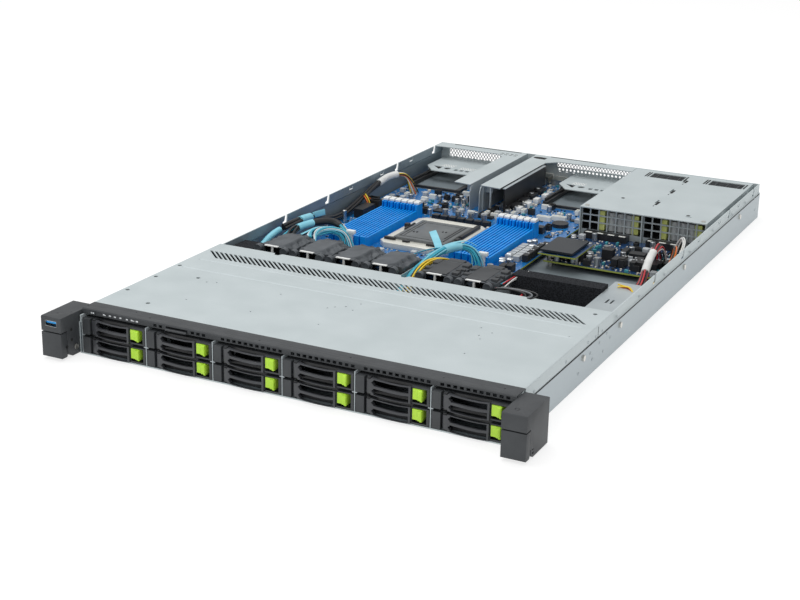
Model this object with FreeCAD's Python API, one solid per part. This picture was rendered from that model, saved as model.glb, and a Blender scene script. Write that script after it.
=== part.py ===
"""One-unit rack server with twelve small drive bays, in millimetres.

X runs to the right as seen from the front, Y to the rear and Z up. The origin is on the underside, midway
across, in the plane of the rack flanges' back faces, so the bays' front plane is at a negative Y.
"""

import FreeCAD, Part
import math
import os

from FreeCAD import Vector

os.makedirs("parts", exist_ok=True)

# Sheet metal
SHEET = 1.2                # chassis floor and walls
THIN = 0.8                 # drive cage and trays
COVER_T = 1.0              # top cover
SKIRT_GAP = 0.3            # between the cover's skirt and the upper wall

# Drives and their bays
DRIVE_W = 69.85
DRIVE_H = 15.0
DRIVE_L = 100.4
RAIL_T = 0.4
SLIDE_GAP = 0.275          # each side of a carrier
COLUMNS = 6
CARRIER_H = 15.4
ROW_LIFT = 0.4             # under the lower carrier
ROW_GAP = 2.9              # between the rows
TAG_SPACE = 5.0            # above the upper row, where the pull-out tag runs
COVER_RISE = 1.4           # between the cage's top sheet and the cover
FRAME_L = 14.0             # moulded front of a carrier
DRIVE_SETBACK = 38.0       # front plane to the drive
FRONT = -21.0              # front plane of the bays
CAGE_L = 146.0

COLUMN_PITCH = DRIVE_W + 2 * RAIL_T + 2 * SLIDE_GAP + THIN
CAGE_HALF = COLUMNS / 2 * COLUMN_PITCH + THIN / 2
CAGE_FIT = 0.1             # cage to chassis wall
ROW_PITCH = CARRIER_H + ROW_GAP
ROW_Z = (SHEET + ROW_LIFT, SHEET + ROW_LIFT + ROW_PITCH)
CEILING = ROW_Z[1] + CARRIER_H + TAG_SPACE
COVER_Z = CEILING + THIN + COVER_RISE
HEIGHT = COVER_Z + COVER_T

# Chassis
WALL_STEP = COVER_T + SKIRT_GAP
HALF = CAGE_HALF + CAGE_FIT + SHEET + WALL_STEP
INNER = HALF - SHEET
UPPER_INNER = CAGE_HALF + CAGE_FIT
LOWER_WALL = 31.0          # height of the joggle
WALL_TOP = COVER_Z

# Stations along the depth
BACKPLANE_T = 2.4
BACKPLANE_Y = FRONT + CAGE_L + 0.5
CABLE_BAY = 113.1
FAN_Y = BACKPLANE_Y + BACKPLANE_T + CABLE_BAY
FAN_L = 56.0
FAN_TO_BOARD = 2.0
BOARD_Y = FAN_Y + FAN_L + FAN_TO_BOARD
BOARD_L = 463.0
REAR_SPACE = 5.8
REAR_Y = BOARD_Y + BOARD_L + REAR_SPACE + SHEET
BEZEL_SET = 5.0            # bezel face behind the bays' front plane
BEZEL_Y = FRONT + BEZEL_SET
BEZEL_DEPTH = 19.0
COVER_FRONT = BEZEL_Y + BEZEL_DEPTH
COVER_REAR = FAN_Y - 22.0

# Rack ears: 482.6 over both flanges, 465.1 between their holes
EAR_W = 22.3
HOLE_OFFSET = 13.55        # side wall to the rack hole
EAR_OUT = HALF + EAR_W
RACK_HOLES = 2 * (HALF + HOLE_OFFSET)
EAR_FRONT = FRONT - 27.0
EAR_BASE = 1.0
EAR_TOP = HEIGHT - 1.8
DOOR_TOP = 27.2
DOOR_T = 8.6
DOOR_GAP = 0.3
FLANGE_T = 4.0
RACK_HOLE_Z = 21.0
RACK_HOLE_R = 3.3

# Electronics
BOARD_Z = 7.2
BOARD_T = 1.8
BOARD_TOP = BOARD_Z + BOARD_T
BOARD_X0 = -INNER + 2.8
CPU_Y = BOARD_Y + 152.0
BANK_OFFSET = 75.5         # processor to each memory bank
SLOT_COUNT = 6
SLOT_PITCH = 8.2
SLOT_W = 6.4
SLOT_L = 148.0
SLOT_Y = BOARD_Y + 80.0
SLOT_TOP = BOARD_TOP + 11.5
TOWER_TOP = BOARD_TOP + 21.0
LATCH_L = 6.0
TOWER_L = 17.0
CHEEK_TOP = TOWER_TOP - 3.2

# Fans
FAN = 40.0
FAN_PITCH = 43.0
FAN_COUNT = 6
FAN_SIDE = 49.3
FAN_X = -INNER + FAN_SIDE
CABLE_GAP = 18.5
FAN_Z = SHEET + THIN + FAN / 2
BORE_R = 18.9
ROTOR_R = 18.3
HUB_R = 8.5
BLADES = 5
ROTOR_L = 18.0
SEAT_HALF = 3.0            # half the housing's centre seat

# Power supplies
PSU_W = 73.5
PSU_H = 39.0
PSU_GAP = 0.4
CAGE_SHEET = 1.0
PSU_CAGE_L = 209.0
PSU_SIDE = 7.4
PSU_X1 = INNER - PSU_SIDE
PSU_X0 = PSU_X1 - 2 * PSU_W - 4 * PSU_GAP - 3 * CAGE_SHEET
PSU_CAGE_Y = REAR_Y - PSU_CAGE_L
BOARD_TO_CAGE = 6.8
BOARD_X1 = PSU_X0 - BOARD_TO_CAGE
CPU_X = BOARD_X1 - 130.0
PSU_Z = SHEET + PSU_GAP
PSU_TOP = PSU_Z + PSU_H
PSU_INSET = 4.0            # inner end behind the cage's front edge
PSU_OUT = 3.0              # rear face behind the rear wall

# Risers and network-card cages
RISER_Y = REAR_Y - 187.0
RISER_TOP = WALL_TOP
RISER_SHEET = 1.0
RISER_LEFT_X = CPU_X - 14.0
RISER_RIGHT_X = CPU_X - 2.0
NET_TOP = 25.0
NET_L = 84.0
TRAY_REACH = 38.0          # card tray in front of its cage
SLOT_BAND = 24.0           # from here up the rear wall is vented


def box(x0, x1, y0, y1, z0, z1):
    return Part.makeBox(x1 - x0, y1 - y0, z1 - z0, Vector(x0, y0, z0))


def prism(axis, outline, low, high):
    """A closed outline in the plane across an axis, drawn out from low to high along that axis."""
    place = {
        "x": lambda a, b: Vector(low, a, b),
        "y": lambda a, b: Vector(a, low, b),
        "z": lambda a, b: Vector(a, b, low),
    }[axis]
    direction = {"x": Vector(1, 0, 0), "y": Vector(0, 1, 0), "z": Vector(0, 0, 1)}[axis]
    points = [place(a, b) for a, b in outline]
    face = Part.Face(Part.makePolygon(points + points[:1]))
    return face.extrude(direction * (high - low))


def rod(axis, centre, radius, low, high):
    """A cylinder along an axis, centred on a point of the plane across it."""
    a, b = centre
    base, direction = {
        "x": (Vector(low, a, b), Vector(1, 0, 0)),
        "y": (Vector(a, low, b), Vector(0, 1, 0)),
        "z": (Vector(a, b, low), Vector(0, 0, 1)),
    }[axis]
    return Part.makeCylinder(radius, high - low, base, direction)


def ngon(sides, radius, a=0.0, b=0.0):
    """Corners of a regular outline with one flat facing down the first axis."""
    turn = math.pi / sides
    return [
        (a + radius * math.cos(turn + 2 * math.pi * k / sides), b + radius * math.sin(turn + 2 * math.pi * k / sides))
        for k in range(sides)
    ]


def fuse(shapes):
    return shapes[0].multiFuse(shapes[1:]).removeSplitter()


def mirror(shape):
    return shape.mirror(Vector(0, 0, 0), Vector(1, 0, 0))


def moved(shape, x=0.0, y=0.0, z=0.0):
    copy = shape.copy()
    copy.translate(Vector(x, y, z))
    return copy


def shifted(outline, a, b):
    return [(p + a, q + b) for p, q in outline]


def save(node, shapes):
    """Write one node; each of its pieces stays a solid of its own."""
    solids = [solid for shape in shapes for solid in shape.Solids]
    for solid in solids:
        if not solid.isValid():
            print("invalid solid in", node)
    Part.makeCompound(solids).exportStep("parts/" + node + ".step")


# ---------------------------------------------------------------- chassis

HOOK_STATIONS = (370.0, 468.0, 650.0, 760.0)
LANCE_STATIONS = (523.0, 605.0, 688.0)
HOOK = [(1.0, 1.0), (6.0, 1.0), (4.0, -9.5), (-4.0, -9.5), (-5.0, -7.0), (-1.0, -5.5)]
LANCE = [(0.0, 3.6), (0.0, 0.0), (9.0, 0.0), (9.0, 3.6), (7.6, 3.6), (7.6, 1.2), (1.4, 1.2), (1.4, 3.6)]
STUD_STATIONS = (161.0, 262.0, 470.0, 695.0)
STUD_Z = 24.0
STUD_L = 1.8


def bezel_space():
    """Room for the bezel's front wall, taken out of the sheets that run up beside it."""
    return box(-HALF - 1, HALF + 1, FRONT - 1, BEZEL_Y + BEZEL_WALL + 0.1, BEZEL_BASE, HEIGHT)


def chassis_base():
    """Floor and side walls: one sheet, joggled inwards above the skirt line so that the cover lies flush."""
    right = [
        (HALF, 0.0),
        (HALF, LOWER_WALL),
        (HALF - WALL_STEP, LOWER_WALL + WALL_STEP),
        (HALF - WALL_STEP, WALL_TOP),
        (UPPER_INNER, WALL_TOP),
        (UPPER_INNER, LOWER_WALL + WALL_STEP - SHEET / 2),
        (INNER, LOWER_WALL - SHEET / 2),
        (INNER, SHEET),
    ]
    left = [(-x, z) for x, z in reversed(right)]
    tray = prism("y", right + left, FRONT, REAR_Y)
    cuts = []
    for station in HOOK_STATIONS:
        hook = shifted(HOOK, FRONT + station, WALL_TOP)
        cuts.append(prism("x", hook, -HALF - 1, HALF + 1))
    for station in LANCE_STATIONS:
        lance = shifted(LANCE, FRONT + station, WALL_TOP - 6.0)
        cuts.append(prism("x", lance, -HALF - 1, HALF + 1))
    cuts.append(bezel_space())
    return tray.cut(cuts)


def rear_outline():
    """The space between the joggled walls, seen from behind."""
    right = [
        (INNER, SHEET),
        (INNER, LOWER_WALL - SHEET / 2),
        (UPPER_INNER, LOWER_WALL + WALL_STEP - SHEET / 2),
        (UPPER_INNER, WALL_TOP),
    ]
    return right + [(-x, z) for x, z in reversed(right)]


VENT_PITCH = 9.6
VENT_R = 4.0
PORT_BAND = (4.0, 20.0)
LEFT_SLOT = (-INNER + 12.0, RISER_LEFT_X - 22.0)
RIGHT_SLOT = (RISER_RIGHT_X + 30.0, PSU_X0 - 8.0)
NET_W = 76.0
NET_LEFT = -INNER + 8.0
NET_RIGHT = PSU_X0 - 6.0 - NET_W
PORTS_X = RISER_LEFT_X - 12.0      # left edge of the connector field
PORT_HOLES = ((0.0, 31.0, 12.6), (35.0, 15.2, 16.0), (53.6, 16.4, 13.8))


def vents(x0, x1, rows):
    """Staggered rows of hexagonal holes that fill a strip of the rear wall."""
    holes = []
    for row in range(rows):
        z = SLOT_BAND + 3.6 + row * VENT_PITCH * math.sqrt(3) / 2
        x = x0 + VENT_R + (VENT_PITCH / 2 if row % 2 else 0.0)
        while x + VENT_R < x1:
            holes.append(prism("y", ngon(6, VENT_R, x, z), REAR_Y - SHEET - 1, REAR_Y + 1))
            x += VENT_PITCH
    return holes


def rear_panel():
    wall = prism("y", rear_outline(), REAR_Y - SHEET, REAR_Y)
    through = (REAR_Y - SHEET - 1, REAR_Y + 1)
    cuts = []
    for side in range(2):
        x0 = psu_x(side) - PSU_GAP
        cuts.append(box(x0, x0 + PSU_W + 2 * PSU_GAP, *through, SHEET, PSU_TOP + PSU_GAP))
    for x0, width, height in PORT_HOLES:
        cuts.append(box(PORTS_X + x0, PORTS_X + x0 + width, *through, PORT_BAND[0], PORT_BAND[0] + height))
    for x0 in (NET_LEFT, NET_RIGHT):
        cuts.append(box(x0 + 6, x0 + NET_W - 6, *through, PORT_BAND[0] + 1, PORT_BAND[1] - 1))
    cuts += vents(*LEFT_SLOT, 2) + vents(*RIGHT_SLOT, 2)
    return wall.cut(cuts)


# ---------------------------------------------------------------- cover, bezel, ears

VENT_SLOT_L = 20.0
VENT_SLOT_W = 2.6
VENT_SLOT_PITCH = 5.8
VENT_SLOT_Y = FRONT + 194.5
BEADS = (154.0, 184.0)
BEAD_W = 4.0
BEAD_D = 0.4


def front_cover():
    """Top sheet with two shallow beads across it, folded down each side, with a row of slanted vents."""
    bead_half = HALF - 11.0
    top = [(COVER_FRONT, HEIGHT)]
    for station in BEADS:
        middle = FRONT + station
        top += [(middle - BEAD_W / 2, HEIGHT), (middle, HEIGHT - BEAD_D), (middle + BEAD_W / 2, HEIGHT)]
    top.append((COVER_REAR, HEIGHT))
    below = [(y, z - COVER_T) for y, z in reversed(top)]
    sheet = prism("x", top + below, -bead_half, bead_half)
    skirt_base = LOWER_WALL + WALL_STEP - 0.1
    side = [
        (bead_half, COVER_Z),
        (bead_half, HEIGHT),
        (HALF - 0.6, HEIGHT),
        (HALF, HEIGHT - 0.6),
        (HALF, skirt_base),
        (HALF - COVER_T, skirt_base),
        (HALF - COVER_T, COVER_Z),
    ]
    fold = prism("y", side, COVER_FRONT, COVER_REAR)
    cover = fuse([sheet, fold, mirror(fold)])
    cuts = []
    x = -HALF + 4.0
    lean = VENT_SLOT_L
    while x + VENT_SLOT_W + lean < HALF - 8.0:
        slot = [
            (x, VENT_SLOT_Y + VENT_SLOT_L),
            (x + VENT_SLOT_W, VENT_SLOT_Y + VENT_SLOT_L),
            (x + VENT_SLOT_W + lean, VENT_SLOT_Y),
            (x + lean, VENT_SLOT_Y),
        ]
        cuts.append(prism("z", slot, COVER_Z - 1, HEIGHT + 1))
        x += VENT_SLOT_PITCH
    for x in (-COLUMN_PITCH * 2.04, 0.0, COLUMN_PITCH * 1.88):
        notch = [(x - 5, COVER_REAR + 1), (x - 2, COVER_REAR - 5), (x + 2, COVER_REAR - 5), (x + 5, COVER_REAR + 1)]
        cuts.append(prism("z", notch, COVER_Z - 1, HEIGHT + 1))
    return cover.cut(cuts)


BEZEL_BASE = HEIGHT - 5.5
BEZEL_WALL = 2.5
BEZEL_ROOF = 1.0
BEZEL_HALF = HALF - 0.3
VENT_HOLE = (3.6, 2.6)
VENT_HOLE_PITCH = 5.95
VENT_HOLE_Z = HEIGHT - 4.4
TAG_W = 22.6
TAG_T = 1.2
TAG_L = 60.0
TAG_X = -113.4
TAG_SHELF = 0.6
TAG_Z = BEZEL_BASE + TAG_SHELF + 0.15
BUTTON_X = -206.5
BUTTON = (5.6, 2.6)
BUTTON_Z = HEIGHT - 3.1
BUTTON_TRAVEL = 0.8
LIGHTS_X = (-195.4, -188.6, -182.9, -176.7, -169.5, -163.9)
LIGHT = (2.6, 1.5)


def button_outline(margin):
    """Octagonal face of the power button, grown by a margin."""
    w = BUTTON[0] / 2 + margin
    h = BUTTON[1] / 2 + margin
    c = 0.7
    return [
        (BUTTON_X - w, BUTTON_Z - h + c),
        (BUTTON_X - w + c, BUTTON_Z - h),
        (BUTTON_X + w - c, BUTTON_Z - h),
        (BUTTON_X + w, BUTTON_Z - h + c),
        (BUTTON_X + w, BUTTON_Z + h - c),
        (BUTTON_X + w - c, BUTTON_Z + h),
        (BUTTON_X - w + c, BUTTON_Z + h),
        (BUTTON_X - w, BUTTON_Z + h - c),
    ]


def vent_columns():
    """Left edges of the bezel's vent holes; the tag takes the middle of the second column."""
    edges = []
    for column in range(2, COLUMNS):
        left = (column - COLUMNS / 2) * COLUMN_PITCH
        edges += [left + 6.0 + k * VENT_HOLE_PITCH for k in range(11)]
    edges += [TAG_X - TAG_W / 2 - 14.0 + k * VENT_HOLE_PITCH for k in range(2)]
    edges += [TAG_X + TAG_W / 2 + 4.0 + k * VENT_HOLE_PITCH for k in range(3)]
    return edges


def front_bezel():
    """Moulded strip over the bays: roof, front wall, vent holes, tag window and the power button's hole."""
    section = [
        (BEZEL_Y, BEZEL_BASE),
        (BEZEL_Y, HEIGHT - 1.0),
        (BEZEL_Y + 1.0, HEIGHT),
        (COVER_FRONT - 0.1, HEIGHT),
        (COVER_FRONT - 0.1, HEIGHT - BEZEL_ROOF),
        (BEZEL_Y + BEZEL_WALL, HEIGHT - BEZEL_ROOF),
        (BEZEL_Y + BEZEL_WALL, BEZEL_BASE),
    ]
    strip = prism("x", section, -BEZEL_HALF, BEZEL_HALF)
    window = (TAG_X - TAG_W / 2 - 0.4, TAG_X + TAG_W / 2 + 0.4)
    shelf_top = BEZEL_BASE + TAG_SHELF
    shelf = box(window[0] - 1.0, window[1] + 1.0, BEZEL_Y + 0.5, COVER_FRONT - 0.1, BEZEL_BASE, shelf_top)
    guides = []
    for x in (window[0] - 1.0, window[1]):
        guides.append(box(x, x + 1.0, BEZEL_Y + 0.5, COVER_FRONT - 0.1, BEZEL_BASE, TAG_Z + TAG_T))
    strip = fuse([strip, shelf] + guides)
    wall = (BEZEL_Y - 1, BEZEL_Y + BEZEL_WALL + 0.5)
    cuts = [
        box(x, x + VENT_HOLE[0], *wall, VENT_HOLE_Z, VENT_HOLE_Z + VENT_HOLE[1])
        for x in vent_columns()
    ]
    cuts.append(box(*window, BEZEL_Y - 1, BEZEL_Y + BEZEL_WALL + 0.01, shelf_top, HEIGHT - 1.7))
    cuts.append(prism("y", button_outline(0.25), *wall))
    for x in LIGHTS_X:
        z = BUTTON_Z - LIGHT[1] / 2
        cuts.append(box(x, x + LIGHT[0], *wall, z, z + LIGHT[1]))
    return strip.cut(cuts)


def power_button():
    """Cap in the bezel, with a flange behind the wall that keeps it in."""
    cap = prism("y", button_outline(0.0), BEZEL_Y - 0.6, BEZEL_Y + BEZEL_WALL + 0.4)
    flange = prism("y", button_outline(0.6), BEZEL_Y + BEZEL_WALL + 0.3, BEZEL_Y + BEZEL_WALL + 1.3)
    return fuse([cap, flange])


def pull_tag():
    """Flat tag that slides out of the bezel, with a raised lip to pull it by."""
    x0 = TAG_X - TAG_W / 2
    x1 = TAG_X + TAG_W / 2
    plate = box(x0, x1, BEZEL_Y - 1.0, BEZEL_Y + TAG_L, TAG_Z, TAG_Z + TAG_T)
    lip = [
        (BEZEL_Y - 2.2, TAG_Z - 0.5),
        (BEZEL_Y - 2.2, TAG_Z + 0.5),
        (BEZEL_Y - 1.0, TAG_Z + TAG_T),
        (BEZEL_Y - 1.0, TAG_Z - 0.5),
    ]
    return fuse([plate, prism("x", lip, x0, x1)])


DOOR_PIN = (EAR_FRONT + DOOR_T + 2.0, 6.4)
KNUCKLE_R = 2.9
PIN_R = 1.1
PIN_EASE = 1.6             # kept around the pin's centre
DOOR_OPEN = math.radians(55)
USB_X = -230.4
USB_Z = 35.2
USB_OUTER = (13.2, 5.8)
USB_WALL = 0.4
USB_L = 14.0


def door_swing():
    """Section of the room that the open door's lower edge sweeps in front of the pin's centre."""
    y, z = DOOR_PIN
    turns = [math.pi + DOOR_OPEN * step / 3 for step in range(4)]
    edge = [(y + PIN_EASE * math.cos(a), z + PIN_EASE * math.sin(a)) for a in turns]
    reach = (z + 1.0) / math.sin(DOOR_OPEN)
    end = (edge[-1][0] - reach * math.sin(turns[-1]), edge[-1][1] + reach * math.cos(turns[-1]))
    return edge + [end, (EAR_FRONT, end[1]), (EAR_FRONT, z)]


def ear(sign):
    """Ear block: solid head, hollow foot behind the door, and the flange that meets the rack post."""
    inner = HALF
    head = [
        (EAR_FRONT, DOOR_TOP + DOOR_GAP),
        (EAR_FRONT, EAR_TOP - 0.8),
        (EAR_FRONT + 0.8, EAR_TOP),
        (0.0, EAR_TOP),
        (0.0, EAR_BASE),
        (EAR_FRONT + DOOR_T + DOOR_GAP, EAR_BASE),
        (EAR_FRONT + DOOR_T + DOOR_GAP, DOOR_TOP + DOOR_GAP),
    ]
    block = prism("x", head, inner, EAR_OUT)
    wall = 1.6
    pocket = box(
        inner + wall,
        EAR_OUT - wall,
        EAR_FRONT + DOOR_T,
        -FLANGE_T,
        EAR_BASE + wall,
        DOOR_TOP - 1.2,
    )
    hole = rod("y", (RACK_HOLES / 2, RACK_HOLE_Z), RACK_HOLE_R, -FLANGE_T - 1, 1)
    relief = prism("x", ngon(8, KNUCKLE_R + 2.6, *DOOR_PIN), inner + wall, EAR_OUT - wall)
    swing = prism("x", door_swing(), inner - 1, EAR_OUT + 1)
    shape = block.cut([pocket, hole, relief, swing])
    pin = rod("x", DOOR_PIN, PIN_R, inner + 0.4, EAR_OUT - 0.4)
    shape = fuse([shape, pin])
    if sign < 0:
        shape = mirror(shape)
        bay = box(
            USB_X - USB_OUTER[0] / 2,
            USB_X + USB_OUTER[0] / 2,
            EAR_FRONT - 1,
            EAR_FRONT + USB_L + 0.4,
            USB_Z - USB_OUTER[1] / 2,
            USB_Z + USB_OUTER[1] / 2,
        )
        shape = shape.cut(bay)
    return shape


def ear_door(sign):
    """Door over the rack screw; its knuckle turns on the ear's pin near the bottom."""
    x0 = HALF + 0.3
    x1 = EAR_OUT
    panel = [
        (EAR_FRONT, EAR_BASE + 1.6),
        (EAR_FRONT, DOOR_TOP),
        (EAR_FRONT + DOOR_T, DOOR_TOP),
        (EAR_FRONT + DOOR_T, EAR_BASE + 2.2),
        (EAR_FRONT + DOOR_T - 0.8, EAR_BASE + 1.2),
        (EAR_FRONT + 0.8, EAR_BASE + 1.2),
    ]
    plate = prism("x", panel, x0, x1)
    hollow = box(x0 + 1.8, x1 - 1.8, EAR_FRONT + 2.0, EAR_FRONT + DOOR_T + 1, DOOR_PIN[1] + 4.0, DOOR_TOP - 1.8)
    plate = plate.cut(hollow)
    arm_x = (HALF + 1.6 + 0.4, EAR_OUT - 1.6 - 0.4)
    arm = box(*arm_x, EAR_FRONT + DOOR_T - 0.5, DOOR_PIN[0], DOOR_PIN[1] - KNUCKLE_R, DOOR_PIN[1] + KNUCKLE_R)
    knuckle = prism("x", ngon(10, KNUCKLE_R, *DOOR_PIN), *arm_x)
    bore = rod("x", DOOR_PIN, PIN_R + 0.2, HALF - 1, EAR_OUT + 1)
    door = fuse([plate, arm, knuckle]).cut(bore)
    return door if sign > 0 else mirror(door)


# ---------------------------------------------------------------- drive cage and drives

LEDGE = 2.0
LEDGE_T = 0.8


def drive_cage():
    """One comb section drawn to the rear: top sheet, seven walls, and ledges that carry the upper row."""
    ledge_top = ROW_Z[1] - ROW_LIFT
    outline = [(-CAGE_HALF, CEILING + THIN), (-CAGE_HALF, SHEET)]
    for column in range(COLUMNS + 1):
        left = -CAGE_HALF + column * COLUMN_PITCH
        right = left + THIN
        if column:
            outline += [
                (left, CEILING),
                (left, ledge_top),
                (left - LEDGE, ledge_top),
                (left - LEDGE, ledge_top - LEDGE_T),
                (left, ledge_top - LEDGE_T),
                (left, SHEET),
            ]
        outline.append((right, SHEET))
        if column < COLUMNS:
            outline += [
                (right, ledge_top - LEDGE_T),
                (right + LEDGE, ledge_top - LEDGE_T),
                (right + LEDGE, ledge_top),
                (right, ledge_top),
                (right, CEILING),
            ]
    outline.append((CAGE_HALF, CEILING + THIN))
    cage = prism("y", outline, FRONT, FRONT + CAGE_L)
    lift = box(-CAGE_HALF - 1, CAGE_HALF + 1, FRONT - 1, COVER_FRONT, CEILING, CEILING + THIN + 1)
    return cage.cut([lift, bezel_space()])


# Carrier front, measured from the middle of its bay and from its own base
RECESS = (-26.9, 18.3)
LEVER_X = (-25.4, 18.0)
PIVOT = (-23.0, 2.6)
SOCKET = (18.9, 32.4)
CATCH_X = (19.4, 28.5)
CATCH_Z = (4.4, 14.0)


def carrier_front():
    """Moulded front: hinge block on the left, open recess behind the lever, framed socket for the catch."""
    half = DRIVE_W / 2
    front = box(-half, half, 0.0, FRAME_L, 0.0, CARRIER_H)
    recess = box(*RECESS, -1.0, 5.2, -1.0, CARRIER_H + 1.0)
    airway = box(RECESS[0] + 4.5, RECESS[1] - 2.0, 4.0, FRAME_L + 1.0, 2.4, CARRIER_H - 2.4)
    socket = box(*SOCKET, -1.0, 8.0, 1.5, CARRIER_H - 0.9)
    front = front.cut([recess, airway, socket])
    tongue = box(PIVOT[0] - 1.6, PIVOT[0] + 1.6, 1.0, 6.0, 0.0, 1.0)
    return fuse([front, tongue, moved(tongue, z=CARRIER_H - 1.0)])


def catch():
    """Coloured release button of one carrier, with a nib at its lower right corner."""
    outline = [
        (CATCH_X[0], CATCH_Z[0]),
        (CATCH_X[1] - 2.4, CATCH_Z[0]),
        (CATCH_X[1] - 2.4, CATCH_Z[0] - 1.4),
        (CATCH_X[1] - 0.4, CATCH_Z[0] - 1.4),
        (CATCH_X[1], CATCH_Z[0] + 1.0),
        (CATCH_X[1], CATCH_Z[1] - 0.8),
        (CATCH_X[1] - 0.8, CATCH_Z[1]),
        (CATCH_X[0], CATCH_Z[1]),
    ]
    return prism("y", outline, -0.6, 8.0)


BOW = ((-24.0, 0.2), (-13.0, -1.9), (-1.0, -3.3), (9.0, -3.5), (18.0, -1.9))
LEVER_T = 2.4


def carrier_lever():
    """Bowed handle: hinge root, three bars with two long openings between them, and an upright at its end."""
    left, right = LEVER_X
    root_end = left + 5.0
    back = [(x, y + LEVER_T) for x, y in reversed(BOW[1:])]
    plan = list(BOW) + back + [(left + 4.2, 4.4), (left + 0.6, 4.4), (left, 1.4)]
    root = prism("z", plan, 1.3, CARRIER_H - 1.3)
    bars = prism("z", plan, 0.1, CARRIER_H - 0.1).cut(box(left - 1, root_end, -5.0, 6.0, -1.0, CARRIER_H + 1.0))
    slot_end = right - 2.6
    openings = []
    for low, high, tip in ((1.5, 6.2, 3.8), (9.2, 13.9, 11.4)):
        outline = [(root_end + 0.6, tip), (root_end + 3.2, low), (slot_end, low), (slot_end, high), (root_end + 3.2, high)]
        openings.append(prism("y", outline, -8.0, 8.0))
    return fuse([root, bars]).cut(openings)


def drive_carrier():
    half = DRIVE_W / 2
    drive_y = (DRIVE_SETBACK, DRIVE_SETBACK + DRIVE_L)
    rail = box(half, half + RAIL_T, 6.0, drive_y[1] - 4.0, 0.5, 8.5)
    drive = box(-half, half, *drive_y, 0.2, 0.2 + DRIVE_H)
    return [carrier_front(), catch(), rail, mirror(rail), drive]


def bay(column, row):
    """Where a bay's own origin lies: midway across it, on the front plane, at the carrier's base."""
    x = (column - (COLUMNS - 1) / 2) * COLUMN_PITCH
    return x, FRONT, ROW_Z[row]


def backplane():
    """Upright board behind the drives, open between the connectors so that air passes."""
    board = box(-CAGE_HALF + 3.0, CAGE_HALF - 3.0, BACKPLANE_Y, BACKPLANE_Y + BACKPLANE_T, SHEET, CEILING - 1.0)
    pieces = [board]
    cuts = []
    drive_end = FRONT + DRIVE_SETBACK + DRIVE_L
    for column in range(COLUMNS):
        x = bay(column, 0)[0]
        for row in range(2):
            z = ROW_Z[row]
            pieces.append(box(x - 22, x + 22, drive_end + 0.6, BACKPLANE_Y, z + 1.0, z + 6.0))
        z = ROW_Z[0] + 8.0
        cuts.append(box(x - 28, x + 28, BACKPLANE_Y - 1, BACKPLANE_Y + BACKPLANE_T + 1, z, ROW_Z[1] - 0.6))
        z = ROW_Z[1] + 8.0
        cuts.append(box(x - 28, x + 28, BACKPLANE_Y - 1, BACKPLANE_Y + BACKPLANE_T + 1, z, CEILING))
    return fuse(pieces).cut(cuts)


# ---------------------------------------------------------------- fans

CHANNEL_X = (UPPER_INNER - 31.5, UPPER_INNER - 0.5)
CHANNEL_Z = 38.0
FOAM_T = 19.0
BLOCK_REAR = 21.0          # fans' front to the left block's rear face


def fan_x(index):
    return FAN_X + index * FAN_PITCH + (CABLE_GAP if index >= 4 else 0.0)


def fan_tray():
    """Tray under the fans with an upright bracket at each end of each group, and the cable channel beside it."""
    x0 = fan_x(0) - FAN / 2 - 1.5 - THIN
    x1 = fan_x(FAN_COUNT - 1) + FAN / 2 + 1.5 + THIN
    y0 = FAN_Y - 6.0
    y1 = FAN_Y + FAN_L + 1.0
    base = box(x0, x1, y0, y1, SHEET, SHEET + THIN)
    top = FAN_Z + 12.0
    side = [(y0, SHEET), (y0, top - 6), (y0 + 6, top), (y1 - 6, top), (y1, top - 6), (y1, SHEET)]
    brackets = []
    gap_left = fan_x(3) + FAN / 2 + 1.5
    gap_right = fan_x(4) - FAN / 2 - 1.5 - THIN
    for x in (x0, gap_left, gap_right, x1 - THIN):
        brackets.append(prism("x", side, x, x + THIN))
    tray = fuse([base] + brackets)
    channel_y = (COVER_REAR + 3.0, FAN_Y + FAN_L + 27.0)
    channel = fuse([
        box(*CHANNEL_X, *channel_y, CHANNEL_Z - 1.0, CHANNEL_Z),
        box(CHANNEL_X[0], CHANNEL_X[0] + 1.0, *channel_y, SHEET, CHANNEL_Z),
    ])
    slots = [box(CHANNEL_X[0] + 12 + 5 * k, CHANNEL_X[0] + 14 + 5 * k, channel_y[0] + 34, channel_y[0] + 46,
                 CHANNEL_Z - 2, CHANNEL_Z + 1) for k in range(2)]
    return [tray, channel.cut(slots)]


def fan_housing():
    """Square duct for two rotors in line, with chamfered corners, a centre seat and its struts."""
    h = FAN / 2
    c = 3.2
    outline = [(-h, -h + c), (-h + c, -h), (h - c, -h), (h, -h + c), (h, h - c), (h - c, h), (-h + c, h), (-h, h - c)]
    duct = prism("y", outline, 0.0, FAN_L)
    duct = duct.cut(prism("y", ngon(20, BORE_R), -1.0, FAN_L + 1.0))
    middle = FAN_L / 2
    seat = prism("y", ngon(12, HUB_R), middle - SEAT_HALF, middle + SEAT_HALF)
    reach = BORE_R + 0.6
    struts = [
        box(-reach, reach, middle - 2.5, middle + 2.5, -1.0, 1.0),
        box(-0.9, 0.9, 0.0, 1.6, -reach, reach),
    ]
    return fuse([duct, seat] + struts)


def facet_loft(sections):
    """A closed solid of flat facets through outlines that have the same number of corners."""
    faces = [Part.Face(Part.makePolygon(section + section[:1])) for section in (sections[0], sections[-1])]
    for low, high in zip(sections, sections[1:]):
        for k in range(len(low)):
            n = (k + 1) % len(low)
            faces.append(Part.Face(Part.makePolygon([low[k], low[n], high[n], low[k]])))
            faces.append(Part.Face(Part.makePolygon([low[k], high[n], high[k], low[k]])))
    solid = Part.makeSolid(Part.makeShell(faces))
    return solid if solid.Volume > 0 else solid.reversed()


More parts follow.
